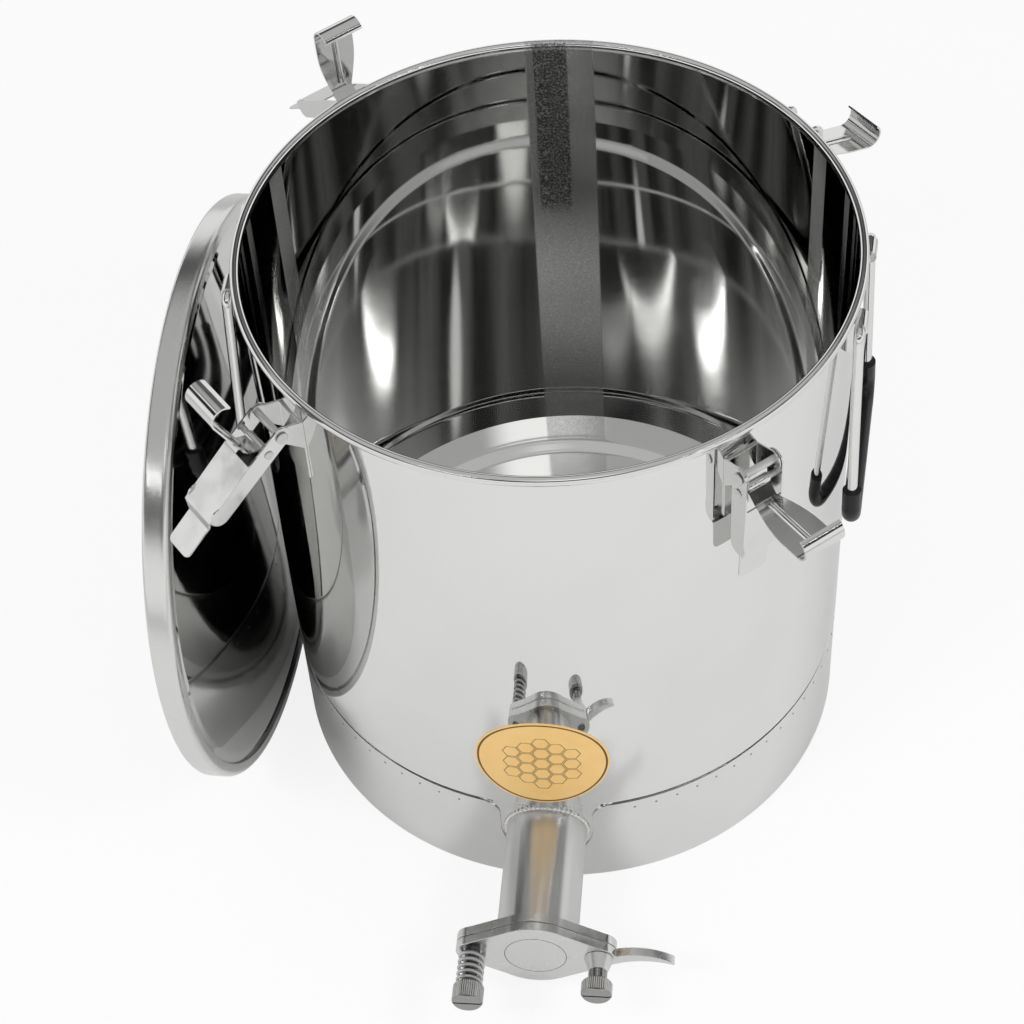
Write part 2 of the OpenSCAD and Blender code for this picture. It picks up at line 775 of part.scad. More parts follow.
// Outline of the hook, seen square to its plate: it flares from the narrow eye and runs on parallel
module hook_plan2d(from) {
    flare_l = hook_l * hook_widen_share;
    flare = [for (i = [0 : hook_flare_steps]) let (share = i / hook_flare_steps)
        [from + flare_l * share, (hook_neck_w + (hook_w - hook_neck_w) * sin(90 * share)) / 2]];
    half = concat([[-hook_neck_w, hook_neck_w / 2]], flare, [[2 * hook_l, hook_w / 2]]);
    last = len(half) - 1;
    polygon(concat(half, [for (i = [0 : last]) [half[last - i].x, -half[last - i].y]]));
}

module clamp_hook(i) {
    corner = root_l * [cos(root_bend), -sin(root_bend)];
    curl = corner + [hook_l, curl_r];
    color("lightgray") in_hook(i) difference() {
        intersection() {
            union() {
                linear_extrude(hook_w, center = true) hook2d(corner, curl);
                // Rib raised on the curl's side of the plate
                translate([corner.x + rib_end, corner.y, 0]) rotate([0, 90, 0])
                    linear_extrude(hook_l - 2 * rib_end) intersection() {
                        circle(rib_r);
                        translate([-rib_r, 0]) square([2 * rib_r, rib_r]);
                    }
            }
            rotate([-90, 0, 0]) translate([0, 0, -hook_l]) linear_extrude(2 * hook_l) hook_plan2d(corner.x);
        }
        cylinder(r = pin_r + pin_play, h = 2 * hook_w, center = true);
    }
}

module clamp1_bracket() { clamp_bracket(0); }
module clamp1_axle() { clamp_axle(0); }
module clamp1_lever() { clamp_lever(0); }
module clamp1_pin() { clamp_pin(0); }
module clamp1_hook() { clamp_hook(0); }
module clamp2_bracket() { clamp_bracket(1); }
module clamp2_axle() { clamp_axle(1); }
module clamp2_lever() { clamp_lever(1); }
module clamp2_pin() { clamp_pin(1); }
module clamp2_hook() { clamp_hook(1); }
module clamp3_bracket() { clamp_bracket(2); }
module clamp3_axle() { clamp_axle(2); }
module clamp3_lever() { clamp_lever(2); }
module clamp3_pin() { clamp_pin(2); }
module clamp3_hook() { clamp_hook(2); }
module clamp4_bracket() { clamp_bracket(3); }
module clamp4_axle() { clamp_axle(3); }
module clamp4_lever() { clamp_lever(3); }
module clamp4_pin() { clamp_pin(3); }
module clamp4_hook() { clamp_hook(3); }

// Lid

// Children drawn with the lid lying flat, its face at z = 0 looking up
module in_lid() {
    translate([-wall_r - lid_gap, -lid_shift, lid_z]) rotate([0, 0, lid_azimuth])
        rotate([90 - lid_tilt, 0, 0]) children();
}

module lid_pan() {
    groove_out = lid_r - lid_ring_w;
    groove_in = groove_out - lid_groove_w;
    panel_r = groove_in - lid_panel_slope_w;
    in_r = lid_r - lid_t;
    color("gainsboro") in_lid() rotate_extrude() difference() {
        union() {
            // Skirt with its rolled hem, and the rounded edge
            translate([in_r, lid_bead_r - lid_depth])
                square([lid_t, lid_depth - lid_bead_r - lid_edge_r]);
            translate([lid_r - lid_bead_r, lid_bead_r - lid_depth]) circle(lid_bead_r);
            translate([lid_r - lid_edge_r, -lid_edge_r]) intersection() {
                circle(lid_edge_r);
                square(lid_edge_r);
            }
            // Top sheet: ring, groove and panel
            polygon([[lid_r - lid_edge_r, 0], [groove_out, 0], [groove_out - lid_groove_d / 2, -lid_groove_d],
                [groove_in, -lid_groove_d], [panel_r, -lid_panel_rise], [0, -lid_panel_rise],
                [0, -lid_panel_rise - lid_t], [panel_r - lid_t / 2, -lid_panel_rise - lid_t],
                [groove_in - lid_t / 2, -lid_groove_d - lid_t],
                [groove_out - lid_groove_d / 2, -lid_groove_d - lid_t],
                [groove_out + lid_t / 2, -lid_t], [lid_r - lid_edge_r, -lid_t]]);
        }
        translate([lid_r - lid_edge_r, -lid_edge_r]) circle(lid_edge_r - lid_t);
    }
}

module lid_seal() {
    color("white") in_lid() rotate_extrude()
        translate([lid_r - lid_ring_w + lid_t, -lid_t - seal_h]) square([seal_w, seal_h]);
}

tank_wall();
rim_wire();
tank_floor();
base_skirt();
label_disc();
spout_tube();
spout_weld();
gate_flange();
gate_seal();
gate_plate();
pivot_bolt();
pivot_spring();
pivot_nut();
lock_bolt();
lock_washer();
lock_nut();
left_handle_lugs();
left_handle_bail();
left_handle_grip();
right_handle_lugs();
right_handle_bail();
right_handle_grip();
clamp1_bracket();
clamp1_axle();
clamp1_lever();
clamp1_pin();
clamp1_hook();
clamp2_bracket();
clamp2_axle();
clamp2_lever();
clamp2_pin();
clamp2_hook();
clamp3_bracket();
clamp3_axle();
clamp3_lever();
clamp3_pin();
clamp3_hook();
clamp4_bracket();
clamp4_axle();
clamp4_lever();
clamp4_pin();
clamp4_hook();
lid_pan();
lid_seal();
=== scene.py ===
"""Studio scene of a honey settling tank: a mirror-bright steel drum with a swing-gate spout, two bail
handles, four lid clamps and a loose lid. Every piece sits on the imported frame, in metres, with +Z up."""

from __future__ import annotations

import json
import logging
import math
from dataclasses import dataclass
from enum import Enum
from typing import Callable, Sequence

import bmesh
import bpy
from bmesh.types import BMesh
from bpy.types import ID, Material, Mesh, Node, NodeInputs, NodeOutputs, NodeSocket, NodeTree, Object
from mathutils import Matrix, Vector

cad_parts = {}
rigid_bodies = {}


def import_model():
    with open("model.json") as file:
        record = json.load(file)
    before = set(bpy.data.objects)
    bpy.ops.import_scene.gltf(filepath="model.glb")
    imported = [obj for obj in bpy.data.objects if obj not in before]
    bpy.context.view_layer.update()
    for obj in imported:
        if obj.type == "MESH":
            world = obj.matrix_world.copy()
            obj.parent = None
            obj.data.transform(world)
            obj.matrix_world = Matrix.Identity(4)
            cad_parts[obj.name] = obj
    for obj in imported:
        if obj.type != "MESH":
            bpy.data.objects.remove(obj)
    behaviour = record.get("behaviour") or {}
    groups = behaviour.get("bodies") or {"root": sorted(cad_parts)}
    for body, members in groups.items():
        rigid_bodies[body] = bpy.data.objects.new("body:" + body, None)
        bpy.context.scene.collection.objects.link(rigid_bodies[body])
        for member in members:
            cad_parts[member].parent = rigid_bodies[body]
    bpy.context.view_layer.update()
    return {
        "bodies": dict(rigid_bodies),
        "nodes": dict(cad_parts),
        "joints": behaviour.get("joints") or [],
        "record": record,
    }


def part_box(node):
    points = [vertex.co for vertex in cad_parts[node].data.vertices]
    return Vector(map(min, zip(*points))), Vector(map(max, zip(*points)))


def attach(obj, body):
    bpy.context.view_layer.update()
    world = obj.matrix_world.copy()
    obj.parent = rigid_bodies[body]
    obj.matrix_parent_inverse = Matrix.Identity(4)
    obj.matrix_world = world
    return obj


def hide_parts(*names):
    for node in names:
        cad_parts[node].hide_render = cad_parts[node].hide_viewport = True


LOG = logging.getLogger("settling_tank")
RIGHT_ANGLE = math.radians(90.0)

Point2 = tuple[float, float]
Colour = tuple[float, float, float]


class Grain(Enum):
    """Which way the fine lines of a steel surface run, as noise scales along X, Y and Z."""

    UPRIGHT = (700.0, 700.0, 5.0)
    ALONG_SPOUT = (900.0, 8.0, 900.0)
    SHEET = (220.0, 220.0, 220.0)
    FLAT = (14.0, 800.0, 800.0)


class Socket(Enum):
    """Kinds of socket on the node groups."""

    FLOAT = "NodeSocketFloat"
    INT = "NodeSocketInt"
    VECTOR = "NodeSocketVector"
    MATERIAL = "NodeSocketMaterial"
    GEOMETRY = "NodeSocketGeometry"


# Node trees


@dataclass
class Net:
    """Adds nodes to one shader or geometry tree and links them."""

    tree: NodeTree

    def node(self, kind: str, feeds: dict | None = None, **settings: object) -> Node:
        """Adds a node.

        Args:
            kind: Blender's type name of the node.
            feeds: What goes into the node's inputs, by their name or index.
            settings: Properties of the node, by name.

        Returns:
            The new node.
        """
        node = self.tree.nodes.new(kind)
        for name, value in settings.items():
            setattr(node, name, value)
        for key, source in (feeds or {}).items():
            self.feed(node.inputs[key], source)
        return node

    def feed(self, socket: NodeSocket, source: object) -> None:
        """Sets a socket to a value, or links it to an output.

        Args:
            socket: The input that is fed.
            source: A plain value, an output socket, or a node whose first output is taken.
        """
        if isinstance(source, Node):
            source = source.outputs[0]
        if isinstance(source, NodeSocket):
            self.tree.links.new(source, socket)
        else:
            socket.default_value = source

    def calc(self, operation: str, *sources: object) -> NodeSocket:
        """Adds a maths node.

        Args:
            operation: Name of the operation.
            sources: The node's inputs in order.

        Returns:
            The result's socket.
        """
        return self.node("ShaderNodeMath", dict(enumerate(sources)), operation=operation).outputs[0]

    def add(self, first: object, second: object) -> NodeSocket:
        """Returns the sum of two values."""
        return self.calc("ADD", first, second)

    def times(self, first: object, second: object) -> NodeSocket:
        """Returns the product of two values."""
        return self.calc("MULTIPLY", first, second)

    def rest(self, value: object) -> NodeSocket:
        """Returns what a value leaves of one."""
        return self.calc("SUBTRACT", 1.0, value)

    def less(self, value: object, limit: object) -> NodeSocket:
        """Returns 1 where a value is under a limit, and 0 elsewhere."""
        return self.calc("LESS_THAN", value, limit)

    def square(self, value: object) -> NodeSocket:
        """Returns the square of a value."""
        return self.calc("POWER", value, 2.0)

    def reach(self, first: object, second: object) -> NodeSocket:
        """Returns the distance that two steps at right angles give."""
        return self.calc("SQRT", self.add(self.square(first), self.square(second)))

    def blend(self, share: object, low: object, high: object) -> NodeSocket:
        """Mixes two colours.

        Args:
            share: How much of the second colour shows.
            low: The first colour, or a socket.
            high: The second colour, or a socket.

        Returns:
            The mixed colour's socket.
        """
        low, high = ((*end, 1.0) if isinstance(end, tuple) else end for end in (low, high))
        # The node's colour sockets come after those for numbers and vectors
        return self.node("ShaderNodeMix", {0: share, 6: low, 7: high}, data_type="RGBA").outputs[2]

    def ramp(self, value: object, low: float, high: float) -> NodeSocket:
        """Adds a smooth step from 0 at one value to 1 at another.

        Args:
            value: The value that is stepped.
            low: Where the step starts.
            high: Where the step ends.

        Returns:
            The step's socket.
        """
        feeds = {0: value, 1: low, 2: high}
        return self.node("ShaderNodeMapRange", feeds, interpolation_type="SMOOTHSTEP").outputs[0]

    def noise(self, vector: NodeSocket, scale: object, detail: float) -> NodeSocket:
        """Adds a noise texture.

        Args:
            vector: Where the noise is read.
            scale: Noise cells per metre, or a socket.
            detail: Number of finer layers.

        Returns:
            The noise's value socket.
        """
        feeds = {"Vector": vector, "Scale": scale, "Detail": detail}
        return self.node("ShaderNodeTexNoise", feeds).outputs[0]

    def place(self) -> NodeSocket:
        """Returns the place of a point in its piece's own frame."""
        return self.node("ShaderNodeTexCoord").outputs["Object"]

    def axes(self, vector: object) -> NodeOutputs:
        """Returns the X, Y and Z of a vector."""
        return self.node("ShaderNodeSeparateXYZ", {0: vector}).outputs

    def scaled(self, vector: object, scale: object) -> NodeSocket:
        """Returns a vector scaled along each axis."""
        return self.node("ShaderNodeVectorMath", {0: vector, 1: scale}, operation="MULTIPLY").outputs[0]

    def relief(self, shader: Node, height: object, reach: float) -> None:
        """Bumps a shader's normal.

        Args:
            shader: The Principled BSDF.
            height: Socket of the height.
            reach: Height of a full step, in metres.
        """
        bump = self.node("ShaderNodeBump", {"Strength": 1.0, "Distance": reach, "Height": height})
        self.feed(shader.inputs["Normal"], bump)

    def show(self, shader: Node) -> None:
        """Makes a shader the surface of the material."""
        self.feed(self.tree.nodes["Material Output"].inputs["Surface"], shader)


def new_group(name: str, kind: str, inputs: dict[str, Socket], outputs: dict[str, Socket]) -> tuple:
    """Makes an empty node group with its sockets.

    Args:
        name: The group's name.
        kind: Blender's type name of the tree.
        inputs: Kind of each input, by name.
        outputs: Kind of each output, by name.

    Returns:
        The group's net, what it is given and what it results in, as sockets by name.
    """
    tree = bpy.data.node_groups.new(name, kind)
    for direction, sockets in (("INPUT", inputs), ("OUTPUT", outputs)):
        for label, socket in sockets.items():
            tree.interface.new_socket(name=label, in_out=direction, socket_type=socket.value)
    net = Net(tree)
    return net, net.node("NodeGroupInput").outputs, net.node("NodeGroupOutput").inputs


def new_material(name: str) -> tuple[Material, Net, Node]:
    """Makes a node material.

    Args:
        name: The material's name.

    Returns:
        The material, its net and its Principled BSDF.
    """
    material = bpy.data.materials.new(name)
    material.use_nodes = True
    tree = material.node_tree
    return material, Net(tree), tree.nodes["Principled BSDF"]


# Finishes


class SteelSurface:
    """Shader group for every steel finish: fine lines, cloudy gloss and the slow waves of rolled sheet."""

    NAME = "SteelSurface"
    FLOATS = ("Gloss Floor", "Gloss Spread", "Cloud Scale", "Line Depth", "Wave Depth")
    VECTORS = ("Line Scale", "Wave Scale")
    RESULTS = ("Roughness", "Height", "Tone")
    CLOUD_DETAIL = 5.0
    CLOUD_STEP = (0.35, 0.75)
    LINE_DETAIL = 2.0
    WAVE_DETAIL = 1.0

    @classmethod
    def tree(cls) -> NodeTree:
        """Returns the group, which is built on its first use."""
        return bpy.data.node_groups.get(cls.NAME) or cls._build()

    @classmethod
    def _build(cls) -> NodeTree:
        """Returns the new group with its nodes linked."""
        inputs = dict.fromkeys(cls.FLOATS, Socket.FLOAT) | dict.fromkeys(cls.VECTORS, Socket.VECTOR)
        outputs = dict.fromkeys(cls.RESULTS, Socket.FLOAT)
        net, given, result = new_group(cls.NAME, "ShaderNodeTree", inputs, outputs)
        place = net.place()
        clouds = net.noise(place, given["Cloud Scale"], cls.CLOUD_DETAIL)
        lines = net.noise(net.scaled(place, given["Line Scale"]), 1.0, cls.LINE_DETAIL)
        waves = net.noise(net.scaled(place, given["Wave Scale"]), 1.0, cls.WAVE_DETAIL)
        spread = net.times(net.ramp(clouds, *cls.CLOUD_STEP), given["Gloss Spread"])
        net.feed(result["Roughness"], net.add(given["Gloss Floor"], spread))
        fine = net.times(lines, given["Line Depth"])
        slow = net.times(waves, given["Wave Depth"])
        net.feed(result["Height"], net.add(fine, slow))
        net.feed(result["Tone"], clouds)
        return net.tree


@dataclass(frozen=True)
class Finish:
    """A surface finish, whose material is made once."""

    name: str
    colour: Colour

    def material(self) -> Material:
        """Returns the finish's material, which is built on its first use."""
        return bpy.data.materials.get(self.name) or self._build()

    def _build(self) -> Material:
        """Returns the new material with its nodes linked."""
        raise NotImplementedError


@dataclass(frozen=True)
class SteelFinish(Finish):
    """Finish of a steel surface."""

    gloss_floor: float
    gloss_spread: float
    grain: Grain
    line_depth: float
    cloud_scale: float = 9.0
    wave_scale: tuple[float, float, float] = (7.0, 7.0, 2.2)
    wave_depth: float = 0.0
    tone_share: float = 0.9
    bump_reach: float = 0.001
    turned: float = 0.0
    turned_rotation: float = 0.25

    def _build(self) -> Material:
        """Returns the new material with its nodes linked."""
        material, net, shader = new_material(self.name)
        feeds = {
            "Gloss Floor": self.gloss_floor,
            "Gloss Spread": self.gloss_spread,
            "Cloud Scale": self.cloud_scale,
            "Line Scale": self.grain.value,
            "Line Depth": self.line_depth,
            "Wave Scale": self.wave_scale,
            "Wave Depth": self.wave_depth,
        }
        surface = net.node("ShaderNodeGroup", feeds, node_tree=SteelSurface.tree()).outputs
        shader.inputs["Metallic"].default_value = 1.0
        dull = tuple(channel * self.tone_share for channel in self.colour)
        net.feed(shader.inputs["Base Color"], net.blend(surface["Tone"], dull, self.colour))
        if self.turned:
            # Lines round the spout's axis spread the light along it
            shader.inputs["Anisotropic"].default_value = self.turned
            shader.inputs["Anisotropic Rotation"].default_value = self.turned_rotation
            tangent = net.node("ShaderNodeTangent", direction_type="RADIAL", axis="Y")
            net.feed(shader.inputs["Tangent"], tangent)
        self.dress(net, shader, surface)
        net.relief(shader, surface["Height"], self.bump_reach)
        return material

    def dress(self, net: Net, shader: Node, surface: NodeOutputs) -> None:
        """Links the roughness to the shader.

        Args:
            net: The material's net.
            shader: The Principled BSDF.
            surface: What the steel group puts out.
        """
        net.feed(shader.inputs["Roughness"], surface["Roughness"])


@dataclass(frozen=True)
class DrumFinish(SteelFinish):
    """Mirror finish of the drum's wall, with the ground strip along its upright weld and a painted dark
    reflection high in the strip inside.
    """

    strip_azimuth_deg: float = -177.8
    strip_half_deg: float = 6.8
    strip_edge_deg: float = 0.25
    strip_gloss: float = 0.20
    strip_shade: float = 0.32
    strip_haze: float = 0.62
    haze_low: tuple[float, float] = (0.08, 0.17)
    haze_high: tuple[float, float] = (0.21, 0.31)
    # The core is a painted dark reflection on the inside of the strip
    core_azimuth_deg: float = -175.9
    core_half_deg: float = 3.4
    core_gloss: float = 0.10
    core_reflection_shade: float = 0.60
    core_low_z: float = 0.28
    core_fade: float = 0.01
    inside_r: float = 0.1995
    ground_and_reflection: Colour = (0.10, 0.10, 0.10)
    speck_scale: float = 700.0
    speck_detail: float = 3.0
    speck_step: tuple[float, float] = (0.25, 0.6)

    def dress(self, net: Net, shader: Node, surface: NodeOutputs) -> None:
        """Links the roughness, dulls the strip, and paints a dark reflection into its core.

        Args:
            net: The material's net.
            shader: The Principled BSDF.
            surface: What the steel group puts out.
        """
        place = net.place()
        axes = net.axes(place)
        strip = self.band(net, axes, self.strip_azimuth_deg, self.strip_half_deg)
        reflection_core = self.reflection_core(net, axes)
        dull = net.add(net.times(strip, self.strip_gloss), net.times(reflection_core, self.core_gloss))
        net.feed(shader.inputs["Roughness"], net.add(surface["Roughness"], dull))
        above = net.ramp(axes["Z"], *self.haze_low)
        below = net.rest(net.ramp(axes["Z"], *self.haze_high))
        haze = net.times(strip, net.times(net.times(above, below), self.strip_haze))
        net.feed(shader.inputs["Metallic"], net.rest(haze))
        # The strip's own darker tone, plus a painted dark reflection in the core
        shade = net.add(net.times(strip, self.strip_shade), net.times(reflection_core, self.core_reflection_shade))
        specks = net.ramp(net.noise(place, self.speck_scale, self.speck_detail), *self.speck_step)
        steel = shader.inputs["Base Color"].links[0].from_socket
        net.feed(shader.inputs["Base Color"], net.blend(net.times(shade, specks), steel, self.ground_and_reflection))

    def reflection_core(self, net: Net, axes: NodeOutputs) -> NodeSocket:
        """Masks the strip's core, high on the inside of the wall, where a dark reflection is painted.

        Args:
            net: The material's net.
            axes: X, Y and Z of the place.

        Returns:
            The mask's socket, 1 in the core.
        """
        band = self.band(net, axes, self.core_azimuth_deg, self.core_half_deg)
        high = net.ramp(axes["Z"], self.core_low_z - self.core_fade, self.core_low_z + self.core_fade)
        inside = net.less(net.reach(axes["X"], axes["Y"]), self.inside_r)
        return net.times(net.times(band, high), inside)

    def band(self, net: Net, axes: NodeOutputs, azimuth_deg: float, half_deg: float) -> NodeSocket:
        """Masks an upright band of the wall.

        Args:
            net: The material's net.
            axes: X, Y and Z of the place.
            azimuth_deg: Middle of the band, from the front towards +X.
            half_deg: Half of the band's angle.

        Returns:
            The mask's socket, 1 in the band.
        """
        turn = math.radians(azimuth_deg)
        # Angle from the band's middle, measured on axes turned to face it
        ahead = net.add(net.times(axes["X"], math.sin(turn)), net.times(axes["Y"], -math.cos(turn)))
        aside = net.add(net.times(axes["X"], math.cos(turn)), net.times(axes["Y"], math.sin(turn)))
        off = net.calc("ABSOLUTE", net.calc("ARCTAN2", aside, ahead))
        half = math.radians(half_deg)
        edge = math.radians(self.strip_edge_deg)
        return net.rest(net.ramp(off, half - edge, half + edge))


@dataclass(frozen=True)
class MouldedFinish(Finish):
    """Finish of a rubber, plastic or inked surface."""

    pale: Colour
    roughness: float
    shine: float = 0.5
    cloud_scale: float = 30.0
    cloud_detail: float = 4.0
    cloud_step: tuple[float, float] = (0.3, 0.7)
    gloss_spread: float = 0.12
    speckle_scale: float = 900.0
    speckle_detail: float = 3.0
    speckle_reach: float = 0.00006

    def _build(self) -> Material:
        """Returns the new material with its nodes linked."""
        material, net, shader = new_material(self.name)
        place = net.place()
        clouds = net.noise(place, self.cloud_scale, self.cloud_detail)
        net.feed(shader.inputs["Base Color"], net.blend(clouds, self.colour, self.pale))
        gloss = net.times(net.ramp(clouds, *self.cloud_step), self.gloss_spread)
        net.feed(shader.inputs["Roughness"], net.add(gloss, self.roughness))
        shader.inputs["Specular IOR Level"].default_value = self.shine
        speckle = net.noise(place, self.speckle_scale, self.speckle_detail)
        net.relief(shader, speckle, self.speckle_reach)
        return material


@dataclass(frozen=True)
class LabelFinish(Finish):
    """Printed foil of the round label: a gold field with a thin dark ring near its edge."""

    bright: Colour
    ink: Colour
    centre_z: float
    ring_in: float = 0.0432
    ring_out: float = 0.0446
    soft_edge: float = 0.0002
    field_scale: float = 60.0
    field_detail: float = 5.0
    metal: float = 0.1
    gloss_floor: float = 0.3
    gloss_spread: float = 0.15
    gloss_scale: float = 400.0
    gloss_detail: float = 2.0

    def _build(self) -> Material:
        """Returns the new material with its nodes linked."""
        material, net, shader = new_material(self.name)
        place = net.place()
        axes = net.axes(place)
        reach = net.reach(axes["X"], net.calc("SUBTRACT", axes["Z"], self.centre_z))
        edges = (self.ring_in, self.ring_out)
        begun, ended = (net.ramp(reach, at - self.soft_edge, at + self.soft_edge) for at in edges)
        ring = net.times(begun, net.rest(ended))
        gold = net.blend(net.noise(place, self.field_scale, self.field_detail), self.colour, self.bright)
        net.feed(shader.inputs["Base Color"], net.blend(ring, gold, self.ink))
        shader.inputs["Metallic"].default_value = self.metal
        gloss = net.times(net.noise(place, self.gloss_scale, self.gloss_detail), self.gloss_spread)
        net.feed(shader.inputs["Roughness"], net.add(self.gloss_floor, gloss))
        return material


# Steel: name, colour, least roughness and its spread, lines and their depth, and the clouds' scale

DRUM_STEEL = DrumFinish(
    "drum_steel", (0.80, 0.80, 0.79), 0.012, 0.025, Grain.UPRIGHT, 0.0015, wave_depth=0.35
)
SKIRT_STEEL = SteelFinish(
    "skirt_steel", (0.78, 0.78, 0.77), 0.10, 0.12, Grain.UPRIGHT, 0.008, wave_depth=0.25
)
FLOOR_STEEL = SteelFinish("floor_steel", (0.80, 0.80, 0.79), 0.05, 0.05, Grain.FLAT, 0.003, wave_depth=0.2)
LID_STEEL = SteelFinish("lid_steel", (0.76, 0.76, 0.75), 0.03, 0.05, Grain.UPRIGHT, 0.006, wave_depth=0.3)
LID_EDGE_STEEL = SteelFinish("lid_edge_steel", (0.72, 0.72, 0.71), 0.20, 0.14, Grain.SHEET, 0.02)
SPOUT_STEEL = SteelFinish(
    "spout_steel", (0.68, 0.68, 0.67), 0.28, 0.08, Grain.ALONG_SPOUT, 0.01, turned=0.97
)
GATE_STEEL = SteelFinish("gate_steel", (0.68, 0.68, 0.67), 0.20, 0.14, Grain.FLAT, 0.02, 40.0)
PRESSED_STEEL = SteelFinish("pressed_steel", (0.74, 0.74, 0.73), 0.06, 0.10, Grain.SHEET, 0.008, 60.0)
TURNED_STEEL = SteelFinish("turned_steel", (0.60, 0.60, 0.59), 0.10, 0.12, Grain.ALONG_SPOUT, 0.015, 90.0)
ROD_STEEL = SteelFinish("rod_steel", (0.72, 0.72, 0.71), 0.10, 0.10, Grain.UPRIGHT, 0.01, 50.0)
WELD_STEEL = SteelFinish("weld_steel", (0.72, 0.71, 0.69), 0.16, 0.20, Grain.SHEET, 0.05, 120.0)
NUT_STEEL = SteelFinish("nut_steel", (0.34, 0.34, 0.33), 0.16, 0.14, Grain.SHEET, 0.015, 90.0)
# Dark bolts: painted shade that shows between the spring's coils
THREAD_SHADE_STEEL = SteelFinish("thread_painted_shade", (0.16, 0.16, 0.16), 0.20, 0.16, Grain.SHEET, 0.03, 120.0)
SPOT_STEEL = SteelFinish("spot_steel", (0.22, 0.22, 0.21), 0.30, 0.20, Grain.SHEET, 0.03, 120.0)
# Painted shade for the gap between the wall and the skirt
SEAM_SHADE = SteelFinish("seam_painted_shade", (0.06, 0.06, 0.06), 0.45, 0.30, Grain.SHEET, 0.05, 120.0)
SPRING_STEEL = SteelFinish("spring_steel", (0.62, 0.62, 0.62), 0.08, 0.10, Grain.SHEET, 0.01, 90.0)

# Moulded and inked: name, colour, pale colour, roughness, and shine where it isn't the usual

SLEEVE_RUBBER = MouldedFinish("sleeve_rubber", (0.006, 0.006, 0.007), (0.014, 0.014, 0.015), 0.24, 0.28)
SEAL_RUBBER = MouldedFinish("seal_rubber", (0.72, 0.72, 0.70), (0.80, 0.80, 0.78), 0.45)
INK = MouldedFinish("label_ink", (0.10, 0.045, 0.012), (0.14, 0.065, 0.018), 0.4)
# A dark ring for the engraved groove: painted shade
ENGRAVING_SHADE = MouldedFinish("engraved_line_shade", (0.06, 0.06, 0.06), (0.10, 0.10, 0.10), 0.5)


# Meshes


def turns(count: int) -> list[float]:
    """Returns evenly spaced angles of one full turn."""
    return [math.tau * step / count for step in range(count)]


def arc(centre: Point2, radius: float, start_deg: float, end_deg: float, steps: int) -> list[Point2]:
    """Lists points along an arc.

    Args:
        centre: The arc's centre.
        radius: The arc's radius.
        start_deg: Angle of the first point.
        end_deg: Angle of the last point.
        steps: Number of steps.

    Returns:
        The points, both ends among them.
    """
    angles = [math.radians(start_deg + (end_deg - start_deg) * i / steps) for i in range(steps + 1)]
    return [(centre[0] + radius * math.cos(a), centre[1] + radius * math.sin(a)) for a in angles]


def circle(centre: Point2, radius: float, steps: int) -> list[Point2]:
    """Returns the points of a full circle, each one once."""
    return arc(centre, radius, 0.0, 360.0 - 360.0 / steps, steps - 1)


def braced(profile: Sequence[Point2], reach: float = 0.0015, closed: bool = True) -> list[Point2]:
    """Adds points close to both ends of each long side, so that the side keeps its own shading.

    Args:
        profile: Corners of the profile.
        reach: Distance of the added points from the corners.
        closed: Whether a side runs from the last corner back to the first.

    Returns:
        The profile with the added points.
    """
    points = []
    ends = [*profile[1:], profile[0]] if closed else [*profile[1:], profile[-1]]
    for (from_r, from_z), (to_r, to_z) in zip(profile, ends):
        points.append((from_r, from_z))
        length = math.hypot(to_r - from_r, to_z - from_z)
        if length > 4.0 * reach:
            for share in (reach / length, 1.0 - reach / length):
                points.append((from_r + (to_r - from_r) * share, from_z + (to_z - from_z) * share))
    return points


def join_rings(shape: BMesh, first: Sequence, second: Sequence) -> None:
    """Makes the faces between two closed rings of corners, either of which may be a pole.

    Args:
        shape: The mesh that takes the faces.
        first: Corners of one ring.
        second: Corners of the next ring.
    """
    count = max(len(first), len(second))
    if count == 1:
        return
    for step in range(count):
        ahead = (step + 1) % count
        near = [first[step % len(first)], first[ahead % len(first)]]
        far = [second[ahead % len(second)], second[step % len(second)]]
        shape.faces.new(list(dict.fromkeys(near + far)))


def skin(shape: BMesh, rings: Sequence[Sequence], closed: bool = True) -> None:
    """Joins a row of rings into a surface whose faces point outwards.

    Args:
        shape: The mesh that takes the faces.
        rings: The rings of corners, in order.
        closed: Whether the last ring joins the first.
    """
    following = [*rings[1:], rings[0]] if closed else rings[1:]
    for first, second in zip(rings, following):
        join_rings(shape, first, second)
    bmesh.ops.recalc_face_normals(shape, faces=shape.faces)


def lathe(profile: Sequence[Point2], segments: int) -> BMesh:
    """Turns a closed profile about Z. Points on the axis become one pole.

    Args:
        profile: Radius and height of each corner.
        segments: Steps round the axis.

    Returns:
        The closed mesh, with faces that point outwards.
    """
    shape = bmesh.new()
    rings = []
    for radius, height in braced(profile):
        places = [(radius * math.cos(turn), radius * math.sin(turn), height) for turn in turns(segments)]
        if radius <= 0.0:
            places = [(0.0, 0.0, height)]
        rings.append([shape.verts.new(place) for place in places])
    skin(shape, rings)
    return shape


def prism(outline: Sequence[Point2], near: float, far: float, axis: Matrix) -> BMesh:
    """Extrudes a flat outline into a closed prism.

    Args:
        outline: Corners of the outline.
        near: Start of the extrusion.
        far: End of the extrusion.
        axis: Turns the outline's plane and its normal into place.

    Returns:
        The closed mesh.
    """
    shape = bmesh.new()
    ends = [[shape.verts.new(axis @ Vector((x, y, depth))) for x, y in outline] for depth in (near, far)]
    join_rings(shape, ends[0], ends[1])
    for end in ends:
        shape.faces.new(end)
    bmesh.ops.recalc_face_normals(shape, faces=shape.faces)
    return shape


def shade(mesh: Mesh, sharp_deg: float) -> None:
    """Shades a mesh smooth, apart from edges over an angle."""
    mesh.shade_smooth()
    mesh.set_sharp_from_angle(angle=math.radians(sharp_deg))


def linked(name: str, data: ID) -> Object:
    """Returns a new object of the scene."""
    piece = bpy.data.objects.new(name, data)
    bpy.context.scene.collection.objects.link(piece)
    return piece


